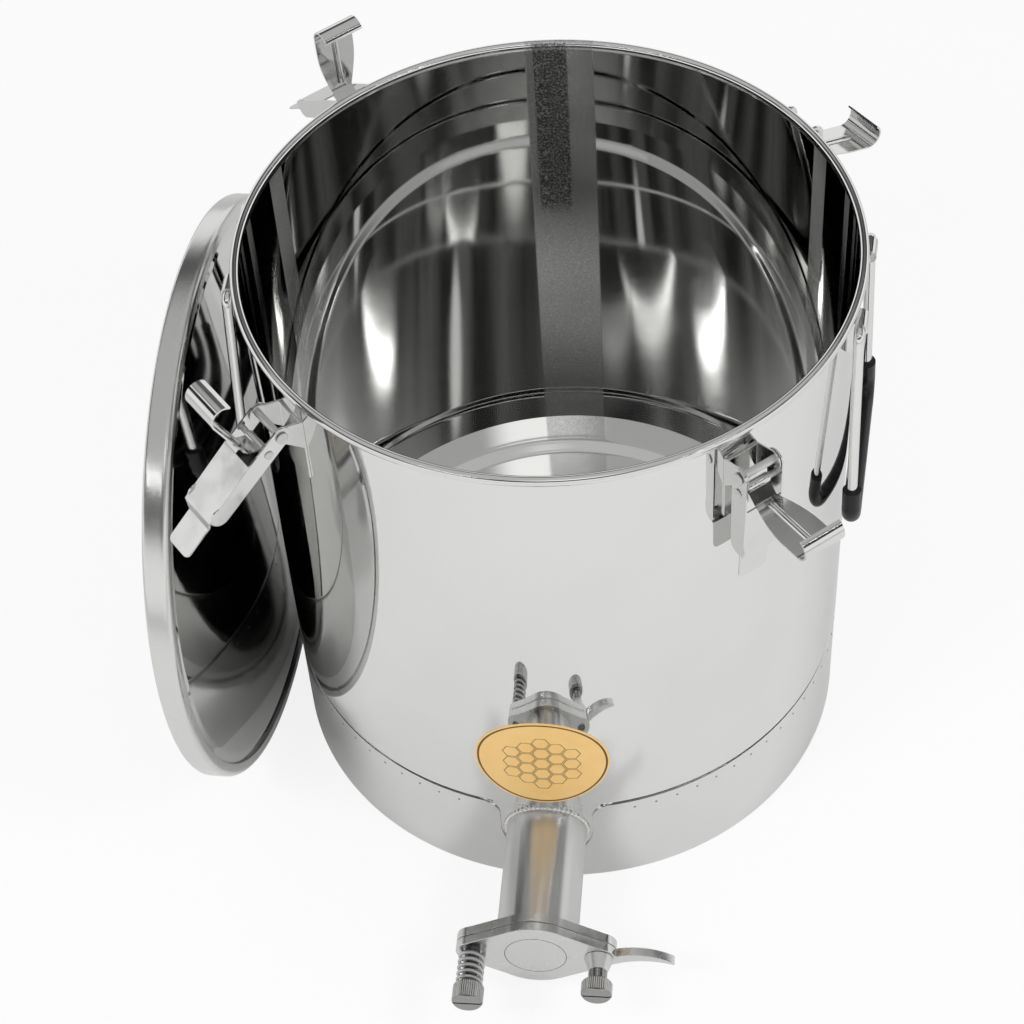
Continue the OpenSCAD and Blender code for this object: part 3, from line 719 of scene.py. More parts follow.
def object_from_bmesh(name: str, shape: BMesh, sharp_deg: float) -> Object:
    """Turns a mesh in the making into a shaded object.

    Args:
        name: The piece's name.
        shape: The mesh, which is freed.
        sharp_deg: Edges over this angle stay sharp.

    Returns:
        The new object, at the origin.
    """
    mesh = bpy.data.meshes.new(name)
    shape.to_mesh(mesh)
    shape.free()
    shade(mesh, sharp_deg)
    return linked(name, mesh)


def baked(piece: Object) -> Mesh:
    """Takes a piece's modifiers off it.

    Args:
        piece: The piece, whose own mesh stays as it is.

    Returns:
        The mesh that the modifiers made.
    """
    bpy.context.view_layer.update()
    depsgraph = bpy.context.evaluated_depsgraph_get()
    mesh = bpy.data.meshes.new_from_object(piece.evaluated_get(depsgraph))
    piece.modifiers.clear()
    return mesh


def cut(piece: Object, cutter: BMesh, sharp_deg: float) -> None:
    """Cuts a shape out of a piece.

    Args:
        piece: The piece that is cut.
        cutter: The shape that is taken away, which is freed.
        sharp_deg: Edges over this angle stay sharp.
    """
    tool = object_from_bmesh("cutter", cutter, sharp_deg)
    modifier = piece.modifiers.new("cut", "BOOLEAN")
    modifier.operation = "DIFFERENCE"
    modifier.solver = "EXACT"
    modifier.object = tool
    piece.data = baked(piece)
    shade(piece.data, sharp_deg)
    bpy.data.objects.remove(tool)


def soften(piece: Object, width: float, steps: int, sharp_deg: float) -> None:
    """Bevels the sharp edges of a piece.

    Args:
        piece: The piece, whose mesh is replaced.
        width: Width of the softened edges.
        steps: Number of faces across an edge.
        sharp_deg: Edges over this angle are softened.
    """
    modifier = piece.modifiers.new("soft_edges", "BEVEL")
    modifier.width = width
    modifier.segments = steps
    modifier.limit_method = "ANGLE"
    modifier.angle_limit = math.radians(sharp_deg)
    modifier.use_clamp_overlap = True
    piece.data = baked(piece)
    shade(piece.data, sharp_deg)


def true_faces(piece: Object) -> None:
    """Weighs a piece's shading by the size of its faces, so that flat faces look flat."""
    piece.modifiers.new("true_faces", "WEIGHTED_NORMAL").keep_sharp = True
    piece.data = baked(piece)


def set_material(piece: Object, material: Material) -> None:
    """Gives a piece one material."""
    piece.data.materials.clear()
    piece.data.materials.append(material)


def add_material(piece: Object, material: Material, chosen: Callable[[Vector], bool]) -> None:
    """Gives a further material to some of a piece's faces.

    Args:
        piece: The piece, which has its main material.
        material: The further material.
        chosen: Tells from a face's centre whether it takes the material.
    """
    piece.data.materials.append(material)
    for face in piece.data.polygons:
        if chosen(face.center):
            face.material_index = len(piece.data.materials) - 1


@dataclass
class Fitter:
    """Puts finished pieces on the frame's bodies and keeps count of them."""

    frame: dict
    count: int = 0
    same_place: float = 2e-6
    flat_deg: float = 0.3
    edge_steps: int = 2

    def body_of(self, node: str) -> str:
        """Returns the body that carries a node."""
        return next(b for b, nodes in self.frame["record"]["behaviour"]["bodies"].items() if node in nodes)

    def stand_for(self, piece: Object, node: str) -> None:
        """Lets a piece stand for a node of the frame.

        Args:
            piece: The piece, in place.
            node: The node that it replaces.
        """
        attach(piece, self.body_of(node))
        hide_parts(node)
        self._note(piece, node)

    def add_to(self, piece: Object, node: str) -> None:
        """Fixes an extra piece to the body of a node.

        Args:
            piece: The piece, in place.
            node: The node that carries it.
        """
        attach(piece, self.body_of(node))
        self._note(piece, node)

    def _note(self, piece: Object, node: str) -> None:
        """Logs a fitted piece."""
        self.count += 1
        LOG.info("%s fitted at %s, %d faces", piece.name, node, len(piece.data.polygons))

    def smooth_copy(self, node: str, finish: Finish, bevel: float = 0.0, sharp_deg: float = 35.0) -> None:
        """Replaces a node by a copy with joined corners, softened edges and its finish.

        Args:
            node: The node that is copied.
            finish: The copy's finish.
            bevel: Width of the softened edges, or zero for none.
            sharp_deg: Edges over this angle stay sharp.
        """
        shape = bmesh.new()
        shape.from_mesh(self.frame["nodes"][node].data)
        bmesh.ops.remove_doubles(shape, verts=shape.verts, dist=self.same_place)
        flat = math.radians(self.flat_deg)
        bmesh.ops.dissolve_limit(shape, angle_limit=flat, verts=shape.verts, edges=shape.edges)
        piece = object_from_bmesh(node + "_dressed", shape, sharp_deg)
        if bevel:
            soften(piece, bevel, self.edge_steps, sharp_deg)
        true_faces(piece)
        set_material(piece, finish.material())
        self.stand_for(piece, node)


# Repeating pieces made with geometry nodes

SPOT_SEGMENTS = 12
SPOT_RINGS = 6
RIDGE_SIDES = 6
HEXAGON = 6
PEN_SIDES = 6
COIL_STEPS = 40
WIRE_SIDES = 16
# Distance of each ring of six cells from the middle, in cells, and its turn in degrees
HONEYCOMB_RINGS = ((0.0, 0.0), (math.sqrt(3.0), 30.0), (3.0, 0.0), (2.0 * math.sqrt(3.0), 30.0))


def realise(name: str, tree: NodeTree, values: dict[str, object]) -> Object:
    """Runs a geometry tree on an empty object and keeps the plain mesh.

    Args:
        name: The piece's name.
        tree: The geometry tree.
        values: The tree's inputs by name.

    Returns:
        The new piece, at the origin.
    """
    holder = linked(name + "_tree", bpy.data.meshes.new(name + "_tree"))
    modifier = holder.modifiers.new("tree", "NODES")
    modifier.node_group = tree
    for item in tree.interface.items_tree:
        if item.in_out == "INPUT" and item.name in values:
            modifier[item.identifier] = values[item.name]
    mesh = baked(holder)
    bpy.data.objects.remove(holder)
    mesh.name = name
    return linked(name, mesh)


def geometry_group(
    name: str, floats: Sequence[str], counts: Sequence[str] = (), places: Sequence[str] = ()
) -> tuple:
    """Makes an empty geometry group, which takes a Material beside its own inputs.

    Args:
        name: The group's name.
        floats: Names of the sizes that it takes.
        counts: Names of the whole numbers that it takes.
        places: Names of the places that it takes.

    Returns:
        The group's net, what it is given and what it results in, as sockets by name.
    """
    inputs = dict.fromkeys(floats, Socket.FLOAT) | dict.fromkeys(counts, Socket.INT)
    inputs |= dict.fromkeys(places, Socket.VECTOR) | {"Material": Socket.MATERIAL}
    return new_group(name, "GeometryNodeTree", inputs, {"Geometry": Socket.GEOMETRY})


def close_tree(net: Net, given: NodeOutputs, result: NodeInputs, shape: Node) -> NodeTree:
    """Ends a geometry tree: instances become real, and the material is set.

    Args:
        net: The tree's net.
        given: What the tree is given, a Material among it.
        result: What the tree results in.
        shape: The node that has the geometry so far.

    Returns:
        The finished tree.
    """
    real = net.node("GeometryNodeRealizeInstances", {0: shape})
    dressed = net.node("GeometryNodeSetMaterial", {"Geometry": real, "Material": given["Material"]})
    net.feed(result[0], dressed)
    return net.tree


def spot_weld_tree() -> NodeTree:
    """Builds the ring of shallow spot welds, left open round the spout.

    Returns:
        The tree, with inputs Count, Ring Radius, Height, Spot Radius, Spot Rise, Spout Half Width and
        Material.
    """
    floats = ("Ring Radius", "Height", "Spot Radius", "Spot Rise", "Spout Half Width")
    net, given, result = geometry_group("SpotWelds", floats, counts=["Count"])
    feeds = {"Vertices": given["Count"], "Radius": given["Ring Radius"]}
    ring = net.node("GeometryNodeMeshCircle", feeds, fill_type="NONE")
    place = net.node("GeometryNodeInputPosition")
    axes = net.axes(place)
    beside = net.less(net.calc("ABSOLUTE", axes["X"]), given["Spout Half Width"])
    feeds = {"Geometry": ring, "Selection": net.times(beside, net.less(axes["Y"], 0.0))}
    open_ring = net.node("GeometryNodeDeleteGeometry", feeds, domain="POINT")
    feeds = {"Segments": SPOT_SEGMENTS, "Rings": SPOT_RINGS, "Radius": 1.0}
    spot = net.node("GeometryNodeMeshUVSphere", feeds)
    # The dome's poles look along the ring's radius
    radial = net.node("FunctionNodeAlignRotationToVector", {"Vector": place}, axis="Z")
    feeds = {0: given["Spot Radius"], 1: given["Spot Radius"], 2: given["Spot Rise"]}
    size = net.node("ShaderNodeCombineXYZ", feeds)
    feeds = {"Points": open_ring, "Instance": spot, "Rotation": radial, "Scale": size}
    spots = net.node("GeometryNodeInstanceOnPoints", feeds)
    lift = net.node("ShaderNodeCombineXYZ", {2: given["Height"]})
    raised = net.node("GeometryNodeTransform", {"Geometry": spots, "Translation": lift})
    return close_tree(net, given, result, raised)


def knurl_tree() -> NodeTree:
    """Builds the straight ridges round a nut, whose axis runs along Y.

    Returns:
        The tree, with inputs Count, Radius, Ridge, Length, Centre and Material.
    """
    net, given, result = geometry_group("Knurl", ("Radius", "Ridge", "Length"), ["Count"], ["Centre"])
    feeds = {"Vertices": given["Count"], "Radius": given["Radius"]}
    ring = net.node("GeometryNodeMeshCircle", feeds, fill_type="NONE")
    feeds = {"Vertices": RIDGE_SIDES, "Radius": given["Ridge"], "Depth": given["Length"]}
    bar = net.node("GeometryNodeMeshCylinder", feeds, fill_type="TRIANGLE_FAN")
    bars = net.node("GeometryNodeInstanceOnPoints", {"Points": ring, "Instance": bar})
    feeds = {"Geometry": bars, "Translation": given["Centre"], "Rotation": (RIGHT_ANGLE, 0.0, 0.0)}
    laid = net.node("GeometryNodeTransform", feeds)
    return close_tree(net, given, result, laid)


def honeycomb_tree() -> NodeTree:
    """Builds nineteen hexagons in two rings round one, laid on the front of the drum.

    Returns:
        The tree, with inputs Cell, Edge Share, Line, Line Flat, Drum Radius, Height and Material.
    """
    floats = ("Cell", "Edge Share", "Line", "Line Flat", "Drum Radius", "Height")
    net, given, result = geometry_group("Honeycomb", floats)
    centres = net.node("GeometryNodeJoinGeometry")
    for reach, turn_deg in HONEYCOMB_RINGS:
        feeds = {"Vertices": HEXAGON, "Radius": net.times(given["Cell"], reach)}
        ring = net.node("GeometryNodeMeshCircle", feeds, fill_type="NONE")
        feeds = {"Geometry": ring, "Rotation": (0.0, 0.0, math.radians(turn_deg))}
        net.feed(centres.inputs[0], net.node("GeometryNodeTransform", feeds))
    single = net.node("GeometryNodeMergeByDistance", {"Geometry": centres})
    feeds = {"Resolution": HEXAGON, "Radius": net.times(given["Cell"], given["Edge Share"])}
    edge = net.node("GeometryNodeCurvePrimitiveCircle", feeds)
    pen = net.node("GeometryNodeCurvePrimitiveCircle", {"Resolution": PEN_SIDES, "Radius": given["Line"]})
    outline = net.node("GeometryNodeCurveToMesh", {"Curve": edge, "Profile Curve": pen})
    cells = net.node("GeometryNodeInstanceOnPoints", {"Points": single, "Instance": outline})
    real = net.node("GeometryNodeRealizeInstances", {0: cells})
    axes = net.axes(net.node("GeometryNodeInputPosition"))
    # The flat pattern is wrapped round the drum
    depth = net.calc("SUBTRACT", net.square(given["Drum Radius"]), net.square(axes["X"]))
    proud = net.times(axes["Z"], given["Line Flat"])
    front = net.times(net.add(net.calc("SQRT", depth), proud), -1.0)
    feeds = {"X": axes["X"], "Y": front, "Z": net.add(axes["Y"], given["Height"])}
    laid = net.node("ShaderNodeCombineXYZ", feeds)
    wrapped = net.node("GeometryNodeSetPosition", {"Geometry": real, "Position": laid})
    return close_tree(net, given, result, wrapped)


def coil_tree() -> NodeTree:
    """Builds a round-wire coil spring along -Y.

    Returns:
        The tree, with inputs Turns, Radius, Length, Wire Radius, Start and Material.
    """
    floats = ("Turns", "Radius", "Length", "Wire Radius")
    net, given, result = geometry_group("CoilSpring", floats, places=["Start"])
    feeds = {"Resolution": COIL_STEPS, "Rotations": given["Turns"], "Height": given["Length"]}
    feeds |= dict.fromkeys(("Start Radius", "End Radius"), given["Radius"])
    path = net.node("GeometryNodeCurveSpiral", feeds)
    feeds = {"Resolution": WIRE_SIDES, "Radius": given["Wire Radius"]}
    section = net.node("GeometryNodeCurvePrimitiveCircle", feeds)
    feeds = {"Curve": path, "Profile Curve": section, "Fill Caps": True}
    wire = net.node("GeometryNodeCurveToMesh", feeds)
    smooth = net.node("GeometryNodeSetShadeSmooth", {"Geometry": wire})
    feeds = {"Geometry": smooth, "Translation": given["Start"], "Rotation": (RIGHT_ANGLE, 0.0, 0.0)}
    laid = net.node("GeometryNodeTransform", feeds)
    return close_tree(net, given, result, laid)


# Sub-assemblies


@dataclass
class Drum:
    """Wall with its rolled rim, base skirt and floor."""

    fitter: Fitter
    wall_r: float = 0.200
    rim_z: float = 0.435
    sheet: float = 0.001
    bead_r: float = 0.0032
    bead_out: float = 0.0046
    bead_steps: int = 28
    foot_z: float = 0.014
    seam_z: float = 0.086
    joggle: float = 0.0025
    skirt_inset: float = 0.0003
    seam_gap: float = 0.0009
    hem: float = 0.009
    notch_r: float = 0.0325
    notch_steps: int = 40
    notch_corner_r: float = 0.013
    notch_corner_steps: int = 12
    spout_z: float = 0.056
    tube_r: float = 0.028
    hole_steps: int = 60
    cut_from: float = 0.1
    spot_count: int = 80
    spot_drop: float = 0.0085
    spot_r: float = 0.0009
    spot_rise: float = 0.00022
    spot_clear: float = 0.002
    floor_back_z: float = 0.057
    floor_front_z: float = 0.0286
    floor_sheet: float = 0.0012
    floor_ring: float = 0.026
    floor_step: float = 0.005
    floor_bend_r: float = 0.002
    floor_sharp_deg: float = 60.0
    edge: float = 0.0002
    edge_steps: int = 4
    segments: int = 320
    sharp_deg: float = 40.0

    @property
    def low_r(self) -> float:
        """Outer radius of the wall behind the skirt."""
        return self.wall_r - self.skirt_inset - self.sheet

    @property
    def low_in_r(self) -> float:
        """Inner radius of the wall behind the skirt."""
        return self.low_r - self.sheet

    def build(self) -> None:
        """Makes and fits every piece of the drum."""
        self.make_wall()
        self.make_skirt()
        self.make_floor()
        self.fitter.smooth_copy("rim_wire", SPRING_STEEL)

    def make_wall(self) -> None:
        """Makes the mirror wall with its rim and the spout's hole."""
        bead = (self.wall_r + self.bead_out - self.bead_r, self.rim_z - self.bead_r)
        inner_r = self.wall_r - self.sheet
        start = 360.0 - math.degrees(math.acos((inner_r - bead[0]) / self.bead_r))
        end = -math.degrees(math.acos((self.wall_r - bead[0]) / self.bead_r))
        shoulder = self.seam_z + self.joggle
        profile = [(self.low_in_r, self.foot_z), (self.low_in_r, self.seam_z), (inner_r, shoulder)]
        profile += arc(bead, self.bead_r, start, end, self.bead_steps)
        profile += [(self.wall_r, shoulder), (self.low_r, self.seam_z), (self.low_r, self.foot_z)]
        wall = object_from_bmesh("drum_wall", lathe(profile, self.segments), self.sharp_deg)
        self.cut_front(wall, circle((0.0, 0.0), self.tube_r, self.hole_steps))
        set_material(wall, DRUM_STEEL.material())
        # The faces in the gap over the skirt take a dark finish: painted shade
        add_material(wall, SEAM_SHADE.material(), self.in_seam_shade)
        self.fitter.stand_for(wall, "tank_wall")

    def in_seam_shade(self, centre: Vector) -> bool:
        """Tells whether a face of the wall lies in the gap over the skirt, where shade is painted.

        Args:
            centre: The face's centre.

        Returns:
            True outside in the gap, away from the spout's cut-out.
        """
        in_gap = self.seam_z - self.seam_gap < centre.z < self.seam_z + self.joggle
        outside = math.hypot(centre.x, centre.y) > self.wall_r - self.sheet
        over_spout = centre.y < 0.0 and abs(centre.x) < self.notch_r + self.notch_corner_r
        return in_gap and outside and not over_spout

    def spout_frame(self) -> Matrix:
        """Returns the frame whose Z runs out along the spout and whose Y is up."""
        return Matrix.Translation((0.0, 0.0, self.spout_z)) @ Matrix.Rotation(RIGHT_ANGLE, 4, "X")

    def cut_front(self, piece: Object, outline: Sequence[Point2]) -> None:
        """Cuts an outline out of the front of a sheet.

        Args:
            piece: The sheet.
            outline: The outline round the spout's axis, as seen from the front.
        """
        cutter = prism(outline, self.cut_from, self.wall_r + self.hem, self.spout_frame())
        cut(piece, cutter, self.sharp_deg)

    def make_skirt(self) -> None:
        """Makes the base skirt with its turned-in flange and the cut-out round the spout."""
        top = self.seam_z - self.seam_gap
        out = self.low_r + self.sheet
        bend = 2 * self.edge
        profile = [
            (self.low_r - self.hem, 0.0),
            *arc((out - bend, bend), bend, -90.0, 0.0, self.edge_steps),
            (out, top - self.edge),
            (out - self.edge, top),
            (self.low_r, top),
            (self.low_r, self.sheet),
            (self.low_r - self.hem, self.sheet),
        ]
        skirt = object_from_bmesh("base_skirt_sheet", lathe(profile, self.segments), self.sharp_deg)
        rise = top - self.spout_z
        corner = self.notch_corner_r
        reach = self.notch_r + corner
        outline = arc((0.0, 0.0), self.notch_r, 180.0, 360.0, self.notch_steps)
        outline += arc((reach, rise - corner), corner, 180.0, 90.0, self.notch_corner_steps)
        outline += [(reach, rise + corner), (-reach, rise + corner)]
        outline += arc((-reach, rise - corner), corner, 90.0, 0.0, self.notch_corner_steps)
        self.cut_front(skirt, outline)
        set_material(skirt, SKIRT_STEEL.material())
        self.fitter.stand_for(skirt, "base_skirt")
        self.make_spot_welds(out)

    def make_spot_welds(self, skirt_out: float) -> None:
        """Adds the row of spot welds under the seam.

        Args:
            skirt_out: Outer radius of the skirt.
        """
        spots = realise("spot_welds", spot_weld_tree(), {
            "Count": self.spot_count,
            "Ring Radius": skirt_out,
            "Height": self.seam_z - self.spot_drop,
            "Spot Radius": self.spot_r,
            "Spot Rise": self.spot_rise,
            "Spout Half Width": self.notch_r + self.notch_corner_r + self.spot_clear,
            "Material": SPOT_STEEL.material(),
        })
        spots.data.shade_smooth()
        self.fitter.add_to(spots, "base_skirt")

    def make_floor(self) -> None:
        """Makes the pressed floor, which slopes to the spout and is trimmed to the wall."""
        slope = math.atan((self.floor_back_z - self.floor_front_z) / (2.0 * self.low_in_r))
        ring_in = self.low_in_r - self.floor_ring
        disc_r = ring_in - self.floor_step
        bend = self.floor_bend_r
        section = [
            (0.0, -self.floor_step),
            (disc_r - bend, -self.floor_step),
            (disc_r + bend / 3, -self.floor_step + bend / 2),
            (ring_in - bend / 3, -bend / 2),
            (ring_in + bend, 0.0),
            (ring_in + 2.0 * bend, 0.0),
        ]
        section = braced(section, closed=False)
        shape = bmesh.new()
        faces = [self._floor_rings(shape, section, slope, drop) for drop in (0.0, self.floor_sheet)]
        for side in faces:
            for first, second in zip(side, side[1:]):
                join_rings(shape, first, second)
        join_rings(shape, faces[0][-1], faces[1][-1])
        bmesh.ops.recalc_face_normals(shape, faces=shape.faces)
        floor = object_from_bmesh("drum_floor", shape, self.floor_sharp_deg)
        set_material(floor, FLOOR_STEEL.material())
        self.fitter.stand_for(floor, "tank_floor")

    def _floor_rings(
        self, shape: BMesh, section: Sequence[Point2], slope: float, drop: float
    ) -> list[list]:
        """Adds one face of the floor as rings of corners.

        Args:
            shape: The mesh that takes the corners.
            section: Radius and height of each ring in the floor's own plane.
            slope: Angle of the floor about X.
            drop: Depth of this face below the top.

        Returns:
            The rings, from the centre to the trimmed edge.
        """
        middle = (self.floor_back_z + self.floor_front_z) / 2.0
        tilt = Matrix.Translation((0.0, 0.0, middle)) @ Matrix.Rotation(slope, 4, "X")
        rings = [[shape.verts.new(tilt @ Vector((0.0, 0.0, section[0][1] - drop)))]]
        for radius, height in [*section[1:], (None, 0.0)]:
            ring = []
            for turn in turns(self.segments):
                across, along = math.cos(turn), math.sin(turn)
                # The last ring has no radius of its own, and ends at the wall
                reach = radius or self.low_in_r / math.hypot(across, along * math.cos(slope))
                ring.append(shape.verts.new(tilt @ Vector((reach * across, reach * along, height - drop))))
            rings.append(ring)
        return rings


@dataclass
class Label:
    """Round label on the front of the drum, with a plain honeycomb."""

    fitter: Fitter
    centre_z: float = 0.140
    cell: float = 0.0068
    edge_share: float = 0.9
    line: float = 0.00032
    line_flat: float = 0.25
    gold: Colour = (0.88, 0.54, 0.18)
    bright_gold: Colour = (0.96, 0.66, 0.27)

    def build(self) -> None:
        """Dresses the label and prints its cells."""
        node = "label_disc"
        foil = LabelFinish("label_foil", self.gold, self.bright_gold, INK.colour, self.centre_z)
        set_material(self.fitter.frame["nodes"][node], foil.material())
        cells = realise("label_cells", honeycomb_tree(), {
            "Cell": self.cell,
            "Edge Share": self.edge_share,
            "Line": self.line,
            "Line Flat": self.line_flat,
            "Drum Radius": -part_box(node)[0][1],
            "Height": self.centre_z,
            "Material": INK.material(),
        })
        self.fitter.add_to(cells, node)


@dataclass
class Spout:
    """Spout tube, its weld, the gate and the gate's fasteners."""

    fitter: Fitter
    drum: Drum
    tube_wall: float = 0.0015
    tube_sharp_deg: float = 40.0
    flange_y: float = 0.286
    weld_r: float = 0.0022
    weld_ripples: int = 56
    weld_ripple: float = 0.12
    weld_ripple_steps: int = 8
    weld_sides: int = 12
    weld_width_share: float = 0.9
    weld_out: float = 0.0006
    weld_lift_share: float = 0.35
    weld_rise_share: float = 0.65
    bolt_x: float = 0.043
    plate_front: float = 0.2993
    play: float = 0.0002
    spring_l: float = 0.025
    spring_r: float = 0.0081
    wire_r: float = 0.0012
    coil_turns: float = 5.0
    nut_r: float = 0.0103
    pivot_nut_l: float = 0.014
    lock_head_l: float = 0.011
    lock_head_from: float = 0.018
    knurl_count: int = 44
    knurl_r: float = 0.0005
    knurl_sunk_share: float = 0.4
    knurl_short: float = 0.003
    engraved_r: float = 0.021
    engraved_w: float = 0.0005
    engraved_flat: float = 0.3
    engraved_sides: int = 8
    gate_edge: float = 0.0006
    bolt_edge: float = 0.0003
    soft_deg: float = 80.0
    segments: int = 128

    def build(self) -> None:
        """Makes and fits every piece of the spout."""
        self.make_tube()
        self.make_weld()
        for node in ("gate_flange", "gate_plate"):
            self.fitter.smooth_copy(node, GATE_STEEL, self.gate_edge)
        # The bolts' dark colour is painted shade seen between the spring's coils
        for node in ("pivot_bolt", "lock_bolt"):
            self.fitter.smooth_copy(node, THREAD_SHADE_STEEL, self.bolt_edge)
        for node in ("pivot_nut", "lock_nut"):
            self.fitter.smooth_copy(node, NUT_STEEL, self.bolt_edge)
        self.fitter.smooth_copy("lock_washer", TURNED_STEEL, self.bolt_edge)
        set_material(self.fitter.frame["nodes"]["gate_seal"], SEAL_RUBBER.material())
        self.make_spring()
        self.make_knurls()
        self.make_engraving()

    @staticmethod
    def wall_y(x: float, radius: float) -> float:
        """Returns where a line along the spout meets a radius of the drum, as a distance along -Y."""
        return math.sqrt(radius * radius - x * x)

    def make_tube(self) -> None:
        """Makes the tube, trimmed to the drum's inner face."""
        shape = bmesh.new()
        rings = []
        outer = self.drum.tube_r
        inner = outer - self.tube_wall
        for radius, at_wall in ((outer, True), (outer, False), (inner, False), (inner, True)):
            ring = []
            for turn in turns(self.segments):
                x = radius * math.cos(turn)
                far = self.wall_y(x, self.drum.low_in_r) if at_wall else self.flange_y
                ring.append(shape.verts.new((x, -far, self.drum.spout_z + radius * math.sin(turn))))
            rings.append(ring)
        skin(shape, rings)
        tube = object_from_bmesh("spout_pipe", shape, self.tube_sharp_deg)
        set_material(tube, SPOUT_STEEL.material())
        self.fitter.stand_for(tube, "spout_tube")

    def make_weld(self) -> None:
        """Makes the rippled weld bead round the tube's foot."""
        shape = bmesh.new()
        rings = []
        for turn in turns(self.weld_ripples * self.weld_ripple_steps):
            bead = self.weld_r * (1.0 + self.weld_ripple * math.sin(turn * self.weld_ripples))
            ring = []
            for angle in turns(self.weld_sides):
                reach = self.drum.tube_r + bead * math.cos(angle) * self.weld_width_share + self.weld_out
                x = reach * math.cos(turn)
                lift = bead * (self.weld_lift_share + self.weld_rise_share * math.sin(angle))
                y = self.wall_y(x, self.drum.low_r) + lift
                ring.append(shape.verts.new((x, -y, self.drum.spout_z + reach * math.sin(turn))))
            rings.append(ring)
        skin(shape, rings)
        weld = object_from_bmesh("spout_weld_bead", shape, self.soft_deg)
        set_material(weld, WELD_STEEL.material())
        self.fitter.stand_for(weld, "spout_weld")

    def make_spring(self) -> None:
        """Makes the coil spring on the pivot bolt."""
        start = self.plate_front + self.play + self.wire_r
        spring = realise("pivot_coil", coil_tree(), {
            "Turns": self.coil_turns,
            "Radius": self.spring_r,
            "Length": self.spring_l - 2.0 * self.wire_r,
            "Wire Radius": self.wire_r,
            "Start": (-self.bolt_x, -start, self.drum.spout_z),
            "Material": SPRING_STEEL.material(),
        })
        self.fitter.stand_for(spring, "pivot_spring")

    def make_knurls(self) -> None:
        """Adds the knurled ridges to both nuts."""
        pivot_from = self.plate_front + 2.0 * self.play + self.spring_l
        lock_from = self.plate_front + self.play + self.lock_head_from
        tree = knurl_tree()
        for node, x, start, length in (
            ("pivot_nut", -self.bolt_x, pivot_from, self.pivot_nut_l),
            ("lock_nut", self.bolt_x, lock_from, self.lock_head_l),
        ):
            ridges = realise(node + "_knurl", tree, {
                "Count": self.knurl_count,
                "Radius": self.nut_r - self.knurl_r * self.knurl_sunk_share,
                "Ridge": self.knurl_r,
                "Length": length - self.knurl_short,
                "Centre": (x, -(start + length / 2.0), self.drum.spout_z),
                "Material": TURNED_STEEL.material(),
            })
            self.fitter.add_to(ridges, node)

    def make_engraving(self) -> None:
        """Adds the plain engraved ring on the gate's face, as a dark ring of painted shade."""
        section = circle((self.engraved_r, 0.0), self.engraved_w / 2.0, self.engraved_sides)
        shape = lathe(section, self.segments)
        bmesh.ops.scale(shape, vec=(1.0, 1.0, self.engraved_flat), verts=shape.verts)
        place = Matrix.Translation((0.0, -self.plate_front, 0.0)) @ self.drum.spout_frame()
        bmesh.ops.transform(shape, matrix=place, verts=shape.verts)
        ring = object_from_bmesh("gate_engraving", shape, self.soft_deg)
        set_material(ring, ENGRAVING_SHADE.material())
        self.fitter.add_to(ring, "gate_plate")


@dataclass
class Handle:
    """One bail handle with its lugs and sleeve."""

    fitter: Fitter
    side: str
    lug_edge: float = 0.0003
    sleeve_edge: float = 0.0006

    def build(self) -> None:
        """Dresses the handle's pieces."""
        self.fitter.smooth_copy(f"{self.side}_handle_lugs", PRESSED_STEEL, self.lug_edge)
        self.fitter.smooth_copy(f"{self.side}_handle_bail", ROD_STEEL)
        self.fitter.smooth_copy(f"{self.side}_handle_grip", SLEEVE_RUBBER, self.sleeve_edge)


@dataclass
class Clamp:
    """One lid clamp."""

    fitter: Fitter
    number: int
    sheet_edge: float = 0.0003
    hook_edge: float = 0.0001
    pin_edge: float = 0.0004

    def build(self) -> None:
        """Dresses the clamp's pieces."""
        for piece, finish, edge in (
            ("bracket", PRESSED_STEEL, self.sheet_edge),
            ("lever", PRESSED_STEEL, self.sheet_edge),
            ("hook", PRESSED_STEEL, self.hook_edge),
            ("axle", TURNED_STEEL, self.pin_edge),
            ("pin", TURNED_STEEL, self.pin_edge),
        ):
            self.fitter.smooth_copy(f"clamp{self.number}_{piece}", finish, edge)


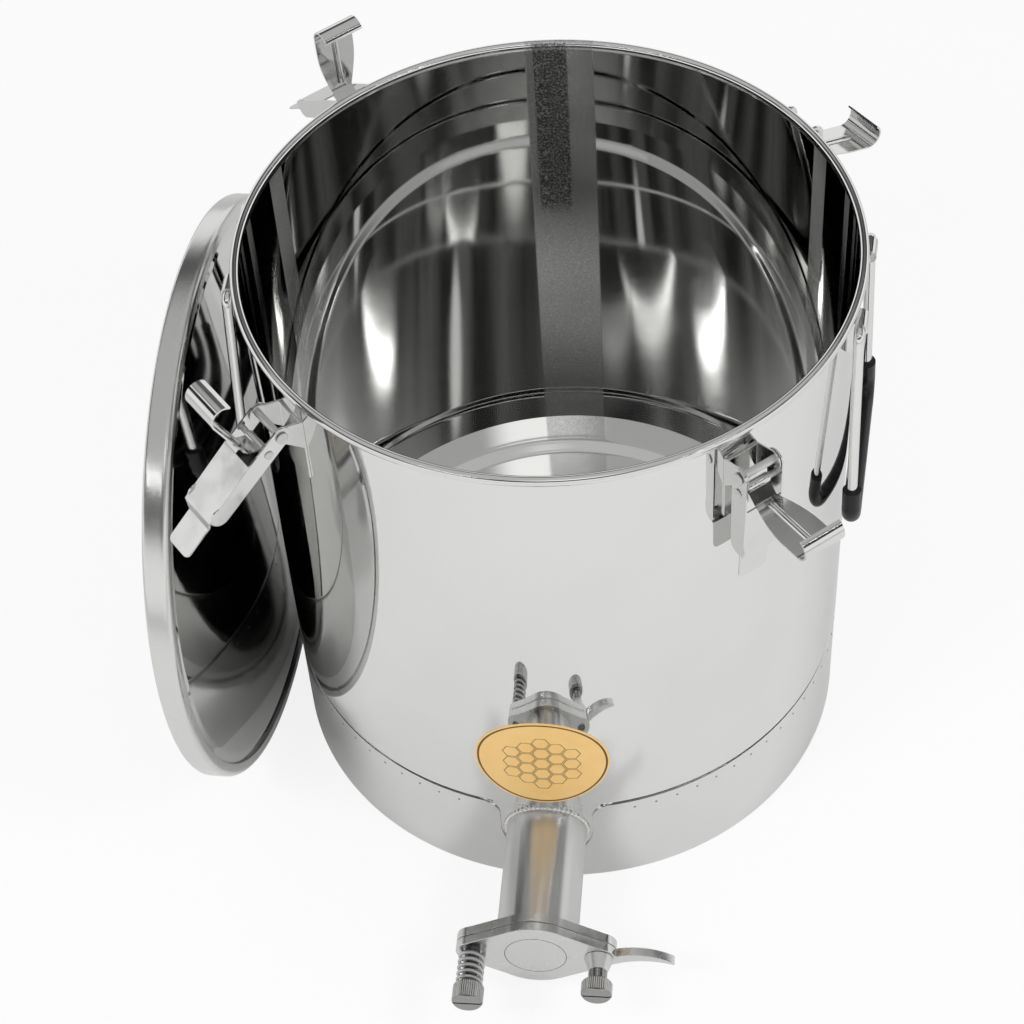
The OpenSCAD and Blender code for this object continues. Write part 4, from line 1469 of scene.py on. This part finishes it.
@dataclass
class Lid:
    """Loose lid, standing on its edge."""

    fitter: Fitter
    radius: float = 0.2065
    depth: float = 0.017
    sheet: float = 0.001
    hem_r: float = 0.0024
    hem_steps: int = 24
    edge_r: float = 0.004
    edge_steps: int = 10
    inside_steps: int = 8
    ring: float = 0.009
    groove: float = 0.004
    groove_depth: float = 0.002
    panel_drop: float = 0.0014
    panel_slope: float = 0.003
    face: Point2 = (-0.217, -0.0178)
    azimuth_deg: float = 86.7
    tilt_deg: float = 2.5
    seal_edge: float = 0.0004
    segments: int = 320
    sharp_deg: float = 40.0

    def frame(self) -> Matrix:
        """Returns the frame of the lid's face, whose Z looks out of it."""
        tilt = math.radians(self.tilt_deg)
        radius, depth = self.radius - self.hem_r, self.depth - self.hem_r
        height = radius * math.cos(tilt) + depth * math.sin(tilt) + self.hem_r
        upright = Matrix.Rotation(RIGHT_ANGLE - tilt, 4, "X")
        turn = Matrix.Rotation(math.radians(self.azimuth_deg), 4, "Z") @ upright
        return Matrix.Translation((*self.face, height)) @ turn

    def build(self) -> None:
        """Makes and fits the lid and its seal."""
        shape = lathe(self.profile(), self.segments)
        bmesh.ops.transform(shape, matrix=self.frame(), verts=shape.verts)
        lid = object_from_bmesh("lid_sheet", shape, self.sharp_deg)
        set_material(lid, LID_STEEL.material())
        add_material(lid, LID_EDGE_STEEL.material(), self.on_edge)
        self.fitter.stand_for(lid, "lid_pan")
        self.fitter.smooth_copy("lid_seal", SEAL_RUBBER, self.seal_edge)

    def on_edge(self, centre: Vector) -> bool:
        """Tells whether a face of the lid lies on its satin edge."""
        place = self.frame().inverted() @ centre
        return math.hypot(place.x, place.y) > self.radius - self.ring - self.groove_depth

    def profile(self) -> list[Point2]:
        """Works out the lid's section.

        Returns:
            The corners, from the middle of the face round to the middle of the back.
        """
        groove_out = self.radius - self.ring
        groove_in = groove_out - self.groove
        groove_edge = groove_out - self.groove_depth / 2
        panel = groove_in - self.panel_slope
        half = self.sheet / 2
        corner = (self.radius - self.edge_r, -self.edge_r)
        hem = (self.radius - self.hem_r, self.hem_r - self.depth)
        inner = self.radius - self.sheet
        hem_top = math.degrees(math.acos((inner - hem[0]) / self.hem_r))
        face = [
            (0.0, -self.panel_drop),
            (panel, -self.panel_drop),
            (groove_in, -self.groove_depth),
            (groove_edge, -self.groove_depth),
            (groove_out, 0.0),
        ]
        back = [
            (groove_out + half, -self.sheet),
            (groove_edge, -self.groove_depth - self.sheet),
            (groove_in - half, -self.groove_depth - self.sheet),
            (panel - half, -self.panel_drop - self.sheet),
            (0.0, -self.panel_drop - self.sheet),
        ]
        outside = arc(corner, self.edge_r, 90.0, 0.0, self.edge_steps)
        rolled = arc(hem, self.hem_r, 0.0, -360.0 + hem_top, self.hem_steps)
        inside = arc(corner, self.edge_r - self.sheet, 0.0, 90.0, self.inside_steps)
        return face + outside + rolled + inside + back


# Studio


@dataclass(frozen=True)
class Glow:
    """A lamp or pale card, placed by the direction in which the drum's rim sees it."""

    name: str
    azimuth_deg: float
    elevation_deg: float
    width: float
    height: float
    strength: float
    distance: float = 2.2

    def matrix(self, target: Vector) -> Matrix:
        """Places the lamp or card.

        Args:
            target: What it looks at.

        Returns:
            The frame that looks from its place at the target along its own -Z.
        """
        turn = math.radians(self.azimuth_deg)
        rise = math.radians(self.elevation_deg)
        flat = math.cos(rise)
        away = Vector((math.sin(turn) * flat, -math.cos(turn) * flat, math.sin(rise)))
        facing = away.to_track_quat("Z", "Y").to_matrix().to_4x4()
        return Matrix.Translation(target + away * self.distance) @ facing


LAMPS = (
    Glow("lamp_left", -36.0, 43.5, 0.8, 0.4, 17.0),
    Glow("lamp_right", 59.0, 40.5, 0.8, 0.4, 17.0),
)
CARDS = (
    Glow("glow_left", -34.5, 43.9, 3.2, 0.11, 16.0, 6.0),
    Glow("glow_right", 61.0, 41.2, 3.2, 0.11, 16.0, 6.0),
    Glow("card_window", 108.0, 38.1, 5.0, 0.16, 3.0, 6.0),
    Glow("card_front", 43.0, 33.5, 5.0, 0.50, 1.6, 6.4),
    Glow("card_left", -103.0, 40.0, 0.35, 0.5, 1.05),
    Glow("card_top", 11.0, 56.3, 3.6, 1.9, 1.4, 6.0),
    Glow("card_side", 140.0, 37.6, 3.0, 0.24, 0.7, 6.0),
)


@dataclass
class Studio:
    """Camera, floor, world, lamps and the cards that the steel mirrors."""

    camera_place: tuple[float, float, float] = (0.1322, -1.1649, 1.5366)
    camera_yaw_deg: float = -8.225
    camera_pitch_deg: float = 49.33
    camera_roll_deg: float = 4.37
    camera_far: float = 50.0
    lens_mm: float = 87.9
    sensor_mm: float = 36.0
    floor_half: float = 6.0
    floor_colour: Colour = (0.86, 0.86, 0.86)
    floor_roughness: float = 0.9
    floor_glow: float = 0.85
    sky: float = 0.6
    aim_z: float = 0.435
    card_fade: tuple[float, float] = (0.45, 1.0)
    flag_r: float = 9.0
    flag_low_deg: float = 24.0
    flag_high_deg: float = 88.0
    flag_fade_deg: tuple[float, float] = (41.0, 53.0)
    flag_steps: int = 16
    flag_segments: int = 96
    fold_scale: float = 0.32
    fold_detail: float = 3.0
    fold_step: tuple[float, float] = (0.35, 0.75)
    cloth_dark: Colour = (0.025, 0.025, 0.025)
    cloth_lit: Colour = (0.18, 0.18, 0.18)
    cloth_pale: Colour = (0.55, 0.55, 0.55)
    sharp_deg: float = 40.0

    @property
    def target(self) -> Vector:
        """Middle of the drum's rim, which the lamps look at."""
        return Vector((0.0, 0.0, self.aim_z))

    def build(self) -> None:
        """Sets up the whole studio."""
        bpy.context.scene.view_settings.view_transform = "Standard"
        self.make_camera()
        self.make_floor()
        self.make_world()
        for lamp in LAMPS:
            self.make_lamp(lamp)
        for card in CARDS:
            self.make_card(card)
        self.make_flags()

    def make_camera(self) -> None:
        """Places the camera at the photograph's viewpoint."""
        angles = (self.camera_yaw_deg, self.camera_pitch_deg, self.camera_roll_deg)
        yaw, pitch, roll = (math.radians(angle) for angle in angles)
        ahead = Vector((math.sin(yaw) * math.cos(pitch), math.cos(yaw) * math.cos(pitch), -math.sin(pitch)))
        right = Vector((math.cos(yaw), -math.sin(yaw), 0.0))
        down = ahead.cross(right)
        across = right * math.cos(roll) + down * math.sin(roll)
        low = down * math.cos(roll) - right * math.sin(roll)
        data = bpy.data.cameras.new("camera")
        data.lens = self.lens_mm
        data.sensor_width = self.sensor_mm
        data.clip_end = self.camera_far
        camera = linked("camera", data)
        basis = Matrix((across, -low, -ahead)).transposed()
        camera.matrix_world = Matrix.Translation(self.camera_place) @ basis.to_4x4()
        bpy.context.scene.camera = camera

    def sheet(self, name: str, half: float) -> Object:
        """Returns a new flat square, at the origin."""
        shape = bmesh.new()
        bmesh.ops.create_grid(shape, x_segments=1, y_segments=1, size=half)
        return object_from_bmesh(name, shape, self.sharp_deg)

    def make_floor(self) -> None:
        """Makes the pale floor, which keeps a soft shadow."""
        floor = self.sheet("studio_floor", self.floor_half)
        material, net, shader = new_material("studio_floor")
        shader.inputs["Base Color"].default_value = (*self.floor_colour, 1.0)
        shader.inputs["Roughness"].default_value = self.floor_roughness
        shader.inputs["Specular IOR Level"].default_value = 0.0
        path = net.node("ShaderNodeLightPath").outputs
        seen = net.times(path["Is Camera Ray"], self.floor_glow)
        net.show(net.node("ShaderNodeMixShader", {0: seen, 1: shader, 2: net.node("ShaderNodeEmission")}))
        set_material(floor, material)

    def make_world(self) -> None:
        """Makes a world that is white where it is seen or mirrored, and soft where it lights."""
        world = bpy.data.worlds.new("studio_world")
        bpy.context.scene.world = world
        world.use_nodes = True
        net = Net(world.node_tree)
        path = net.node("ShaderNodeLightPath").outputs
        bent = net.calc("MAXIMUM", path["Is Glossy Ray"], path["Is Transmission Ray"])
        seen = net.calc("MAXIMUM", path["Is Camera Ray"], bent)
        background = net.tree.nodes["Background"].inputs
        net.feed(background["Strength"], net.add(self.sky, net.times(seen, 1.0 - self.sky)))
        background["Color"].default_value = (1.0, 1.0, 1.0, 1.0)

    def make_lamp(self, glow: Glow) -> None:
        """Adds a soft lamp, which lights the tank but isn't mirrored in it.

        Args:
            glow: The lamp's place, size and power.
        """
        data = bpy.data.lights.new(glow.name, "AREA")
        data.shape = "RECTANGLE"
        data.size = glow.width
        data.size_y = glow.height
        data.energy = glow.strength
        lamp = linked(glow.name, data)
        lamp.matrix_world = glow.matrix(self.target)
        lamp.visible_glossy = False

    def make_card(self, glow: Glow) -> None:
        """Hangs a pale card with soft edges, which only the steel's reflections show.

        Args:
            glow: The card's place, size and brightness.
        """
        card = self.sheet(glow.name, 1.0)
        size = Matrix.Diagonal((glow.width / 2.0, glow.height / 2.0, 1.0, 1.0))
        card.matrix_world = glow.matrix(self.target) @ size
        material, net, _ = new_material(glow.name)
        middle = net.node("ShaderNodeVectorMath", {0: net.place()}, operation="LENGTH")
        fade = net.ramp(middle.outputs["Value"], *self.card_fade)
        light = net.node("ShaderNodeEmission", {"Strength": glow.strength})
        clear = net.node("ShaderNodeBsdfTransparent")
        net.show(net.node("ShaderNodeMixShader", {0: fade, 1: light, 2: clear}))
        set_material(card, material)
        self.mirror_only(card)

    def make_flags(self) -> None:
        """Hangs a ring of dark cloth all round, for the drum's inside to mirror."""
        shape = bmesh.new()
        rings = []
        for radius, height in arc(
            (0.0, self.aim_z), self.flag_r, self.flag_low_deg, self.flag_high_deg, self.flag_steps
        ):
            places = [(radius * math.cos(t), radius * math.sin(t), height) for t in turns(self.flag_segments)]
            rings.append([shape.verts.new(place) for place in places])
        skin(shape, rings, closed=False)
        flags = object_from_bmesh("dark_flags", shape, self.sharp_deg)
        material, net, _ = new_material("dark_cloth")
        place = net.place()
        folds = net.ramp(net.noise(place, self.fold_scale, self.fold_detail), *self.fold_step)
        cloth = net.blend(folds, self.cloth_dark, self.cloth_lit)
        low, high = (self.aim_z + self.flag_r * math.sin(math.radians(deg)) for deg in self.flag_fade_deg)
        pale = net.ramp(net.axes(place)["Z"], low, high)
        net.show(net.node("ShaderNodeEmission", {"Color": net.blend(pale, cloth, self.cloth_pale)}))
        set_material(flags, material)
        self.mirror_only(flags)

    @staticmethod
    def mirror_only(piece: Object) -> None:
        """Shows a piece of the studio to reflections alone.

        Args:
            piece: The card or cloth.
        """
        piece.visible_camera = False
        piece.visible_diffuse = False
        piece.visible_transmission = False
        piece.visible_volume_scatter = False
        piece.visible_shadow = False


def main() -> None:
    """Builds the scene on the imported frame."""
    logging.basicConfig(level=logging.INFO, format="%(name)s: %(message)s")
    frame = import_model()
    fitter = Fitter(frame)
    drum = Drum(fitter)
    Studio().build()
    drum.build()
    Label(fitter).build()
    Spout(fitter, drum).build()
    for side in ("left", "right"):
        Handle(fitter, side).build()
    for number in range(1, 5):
        Clamp(fitter, number).build()
    Lid(fitter).build()
    LOG.info("%d pieces fitted", fitter.count)


if __name__ == "__main__":
    main()
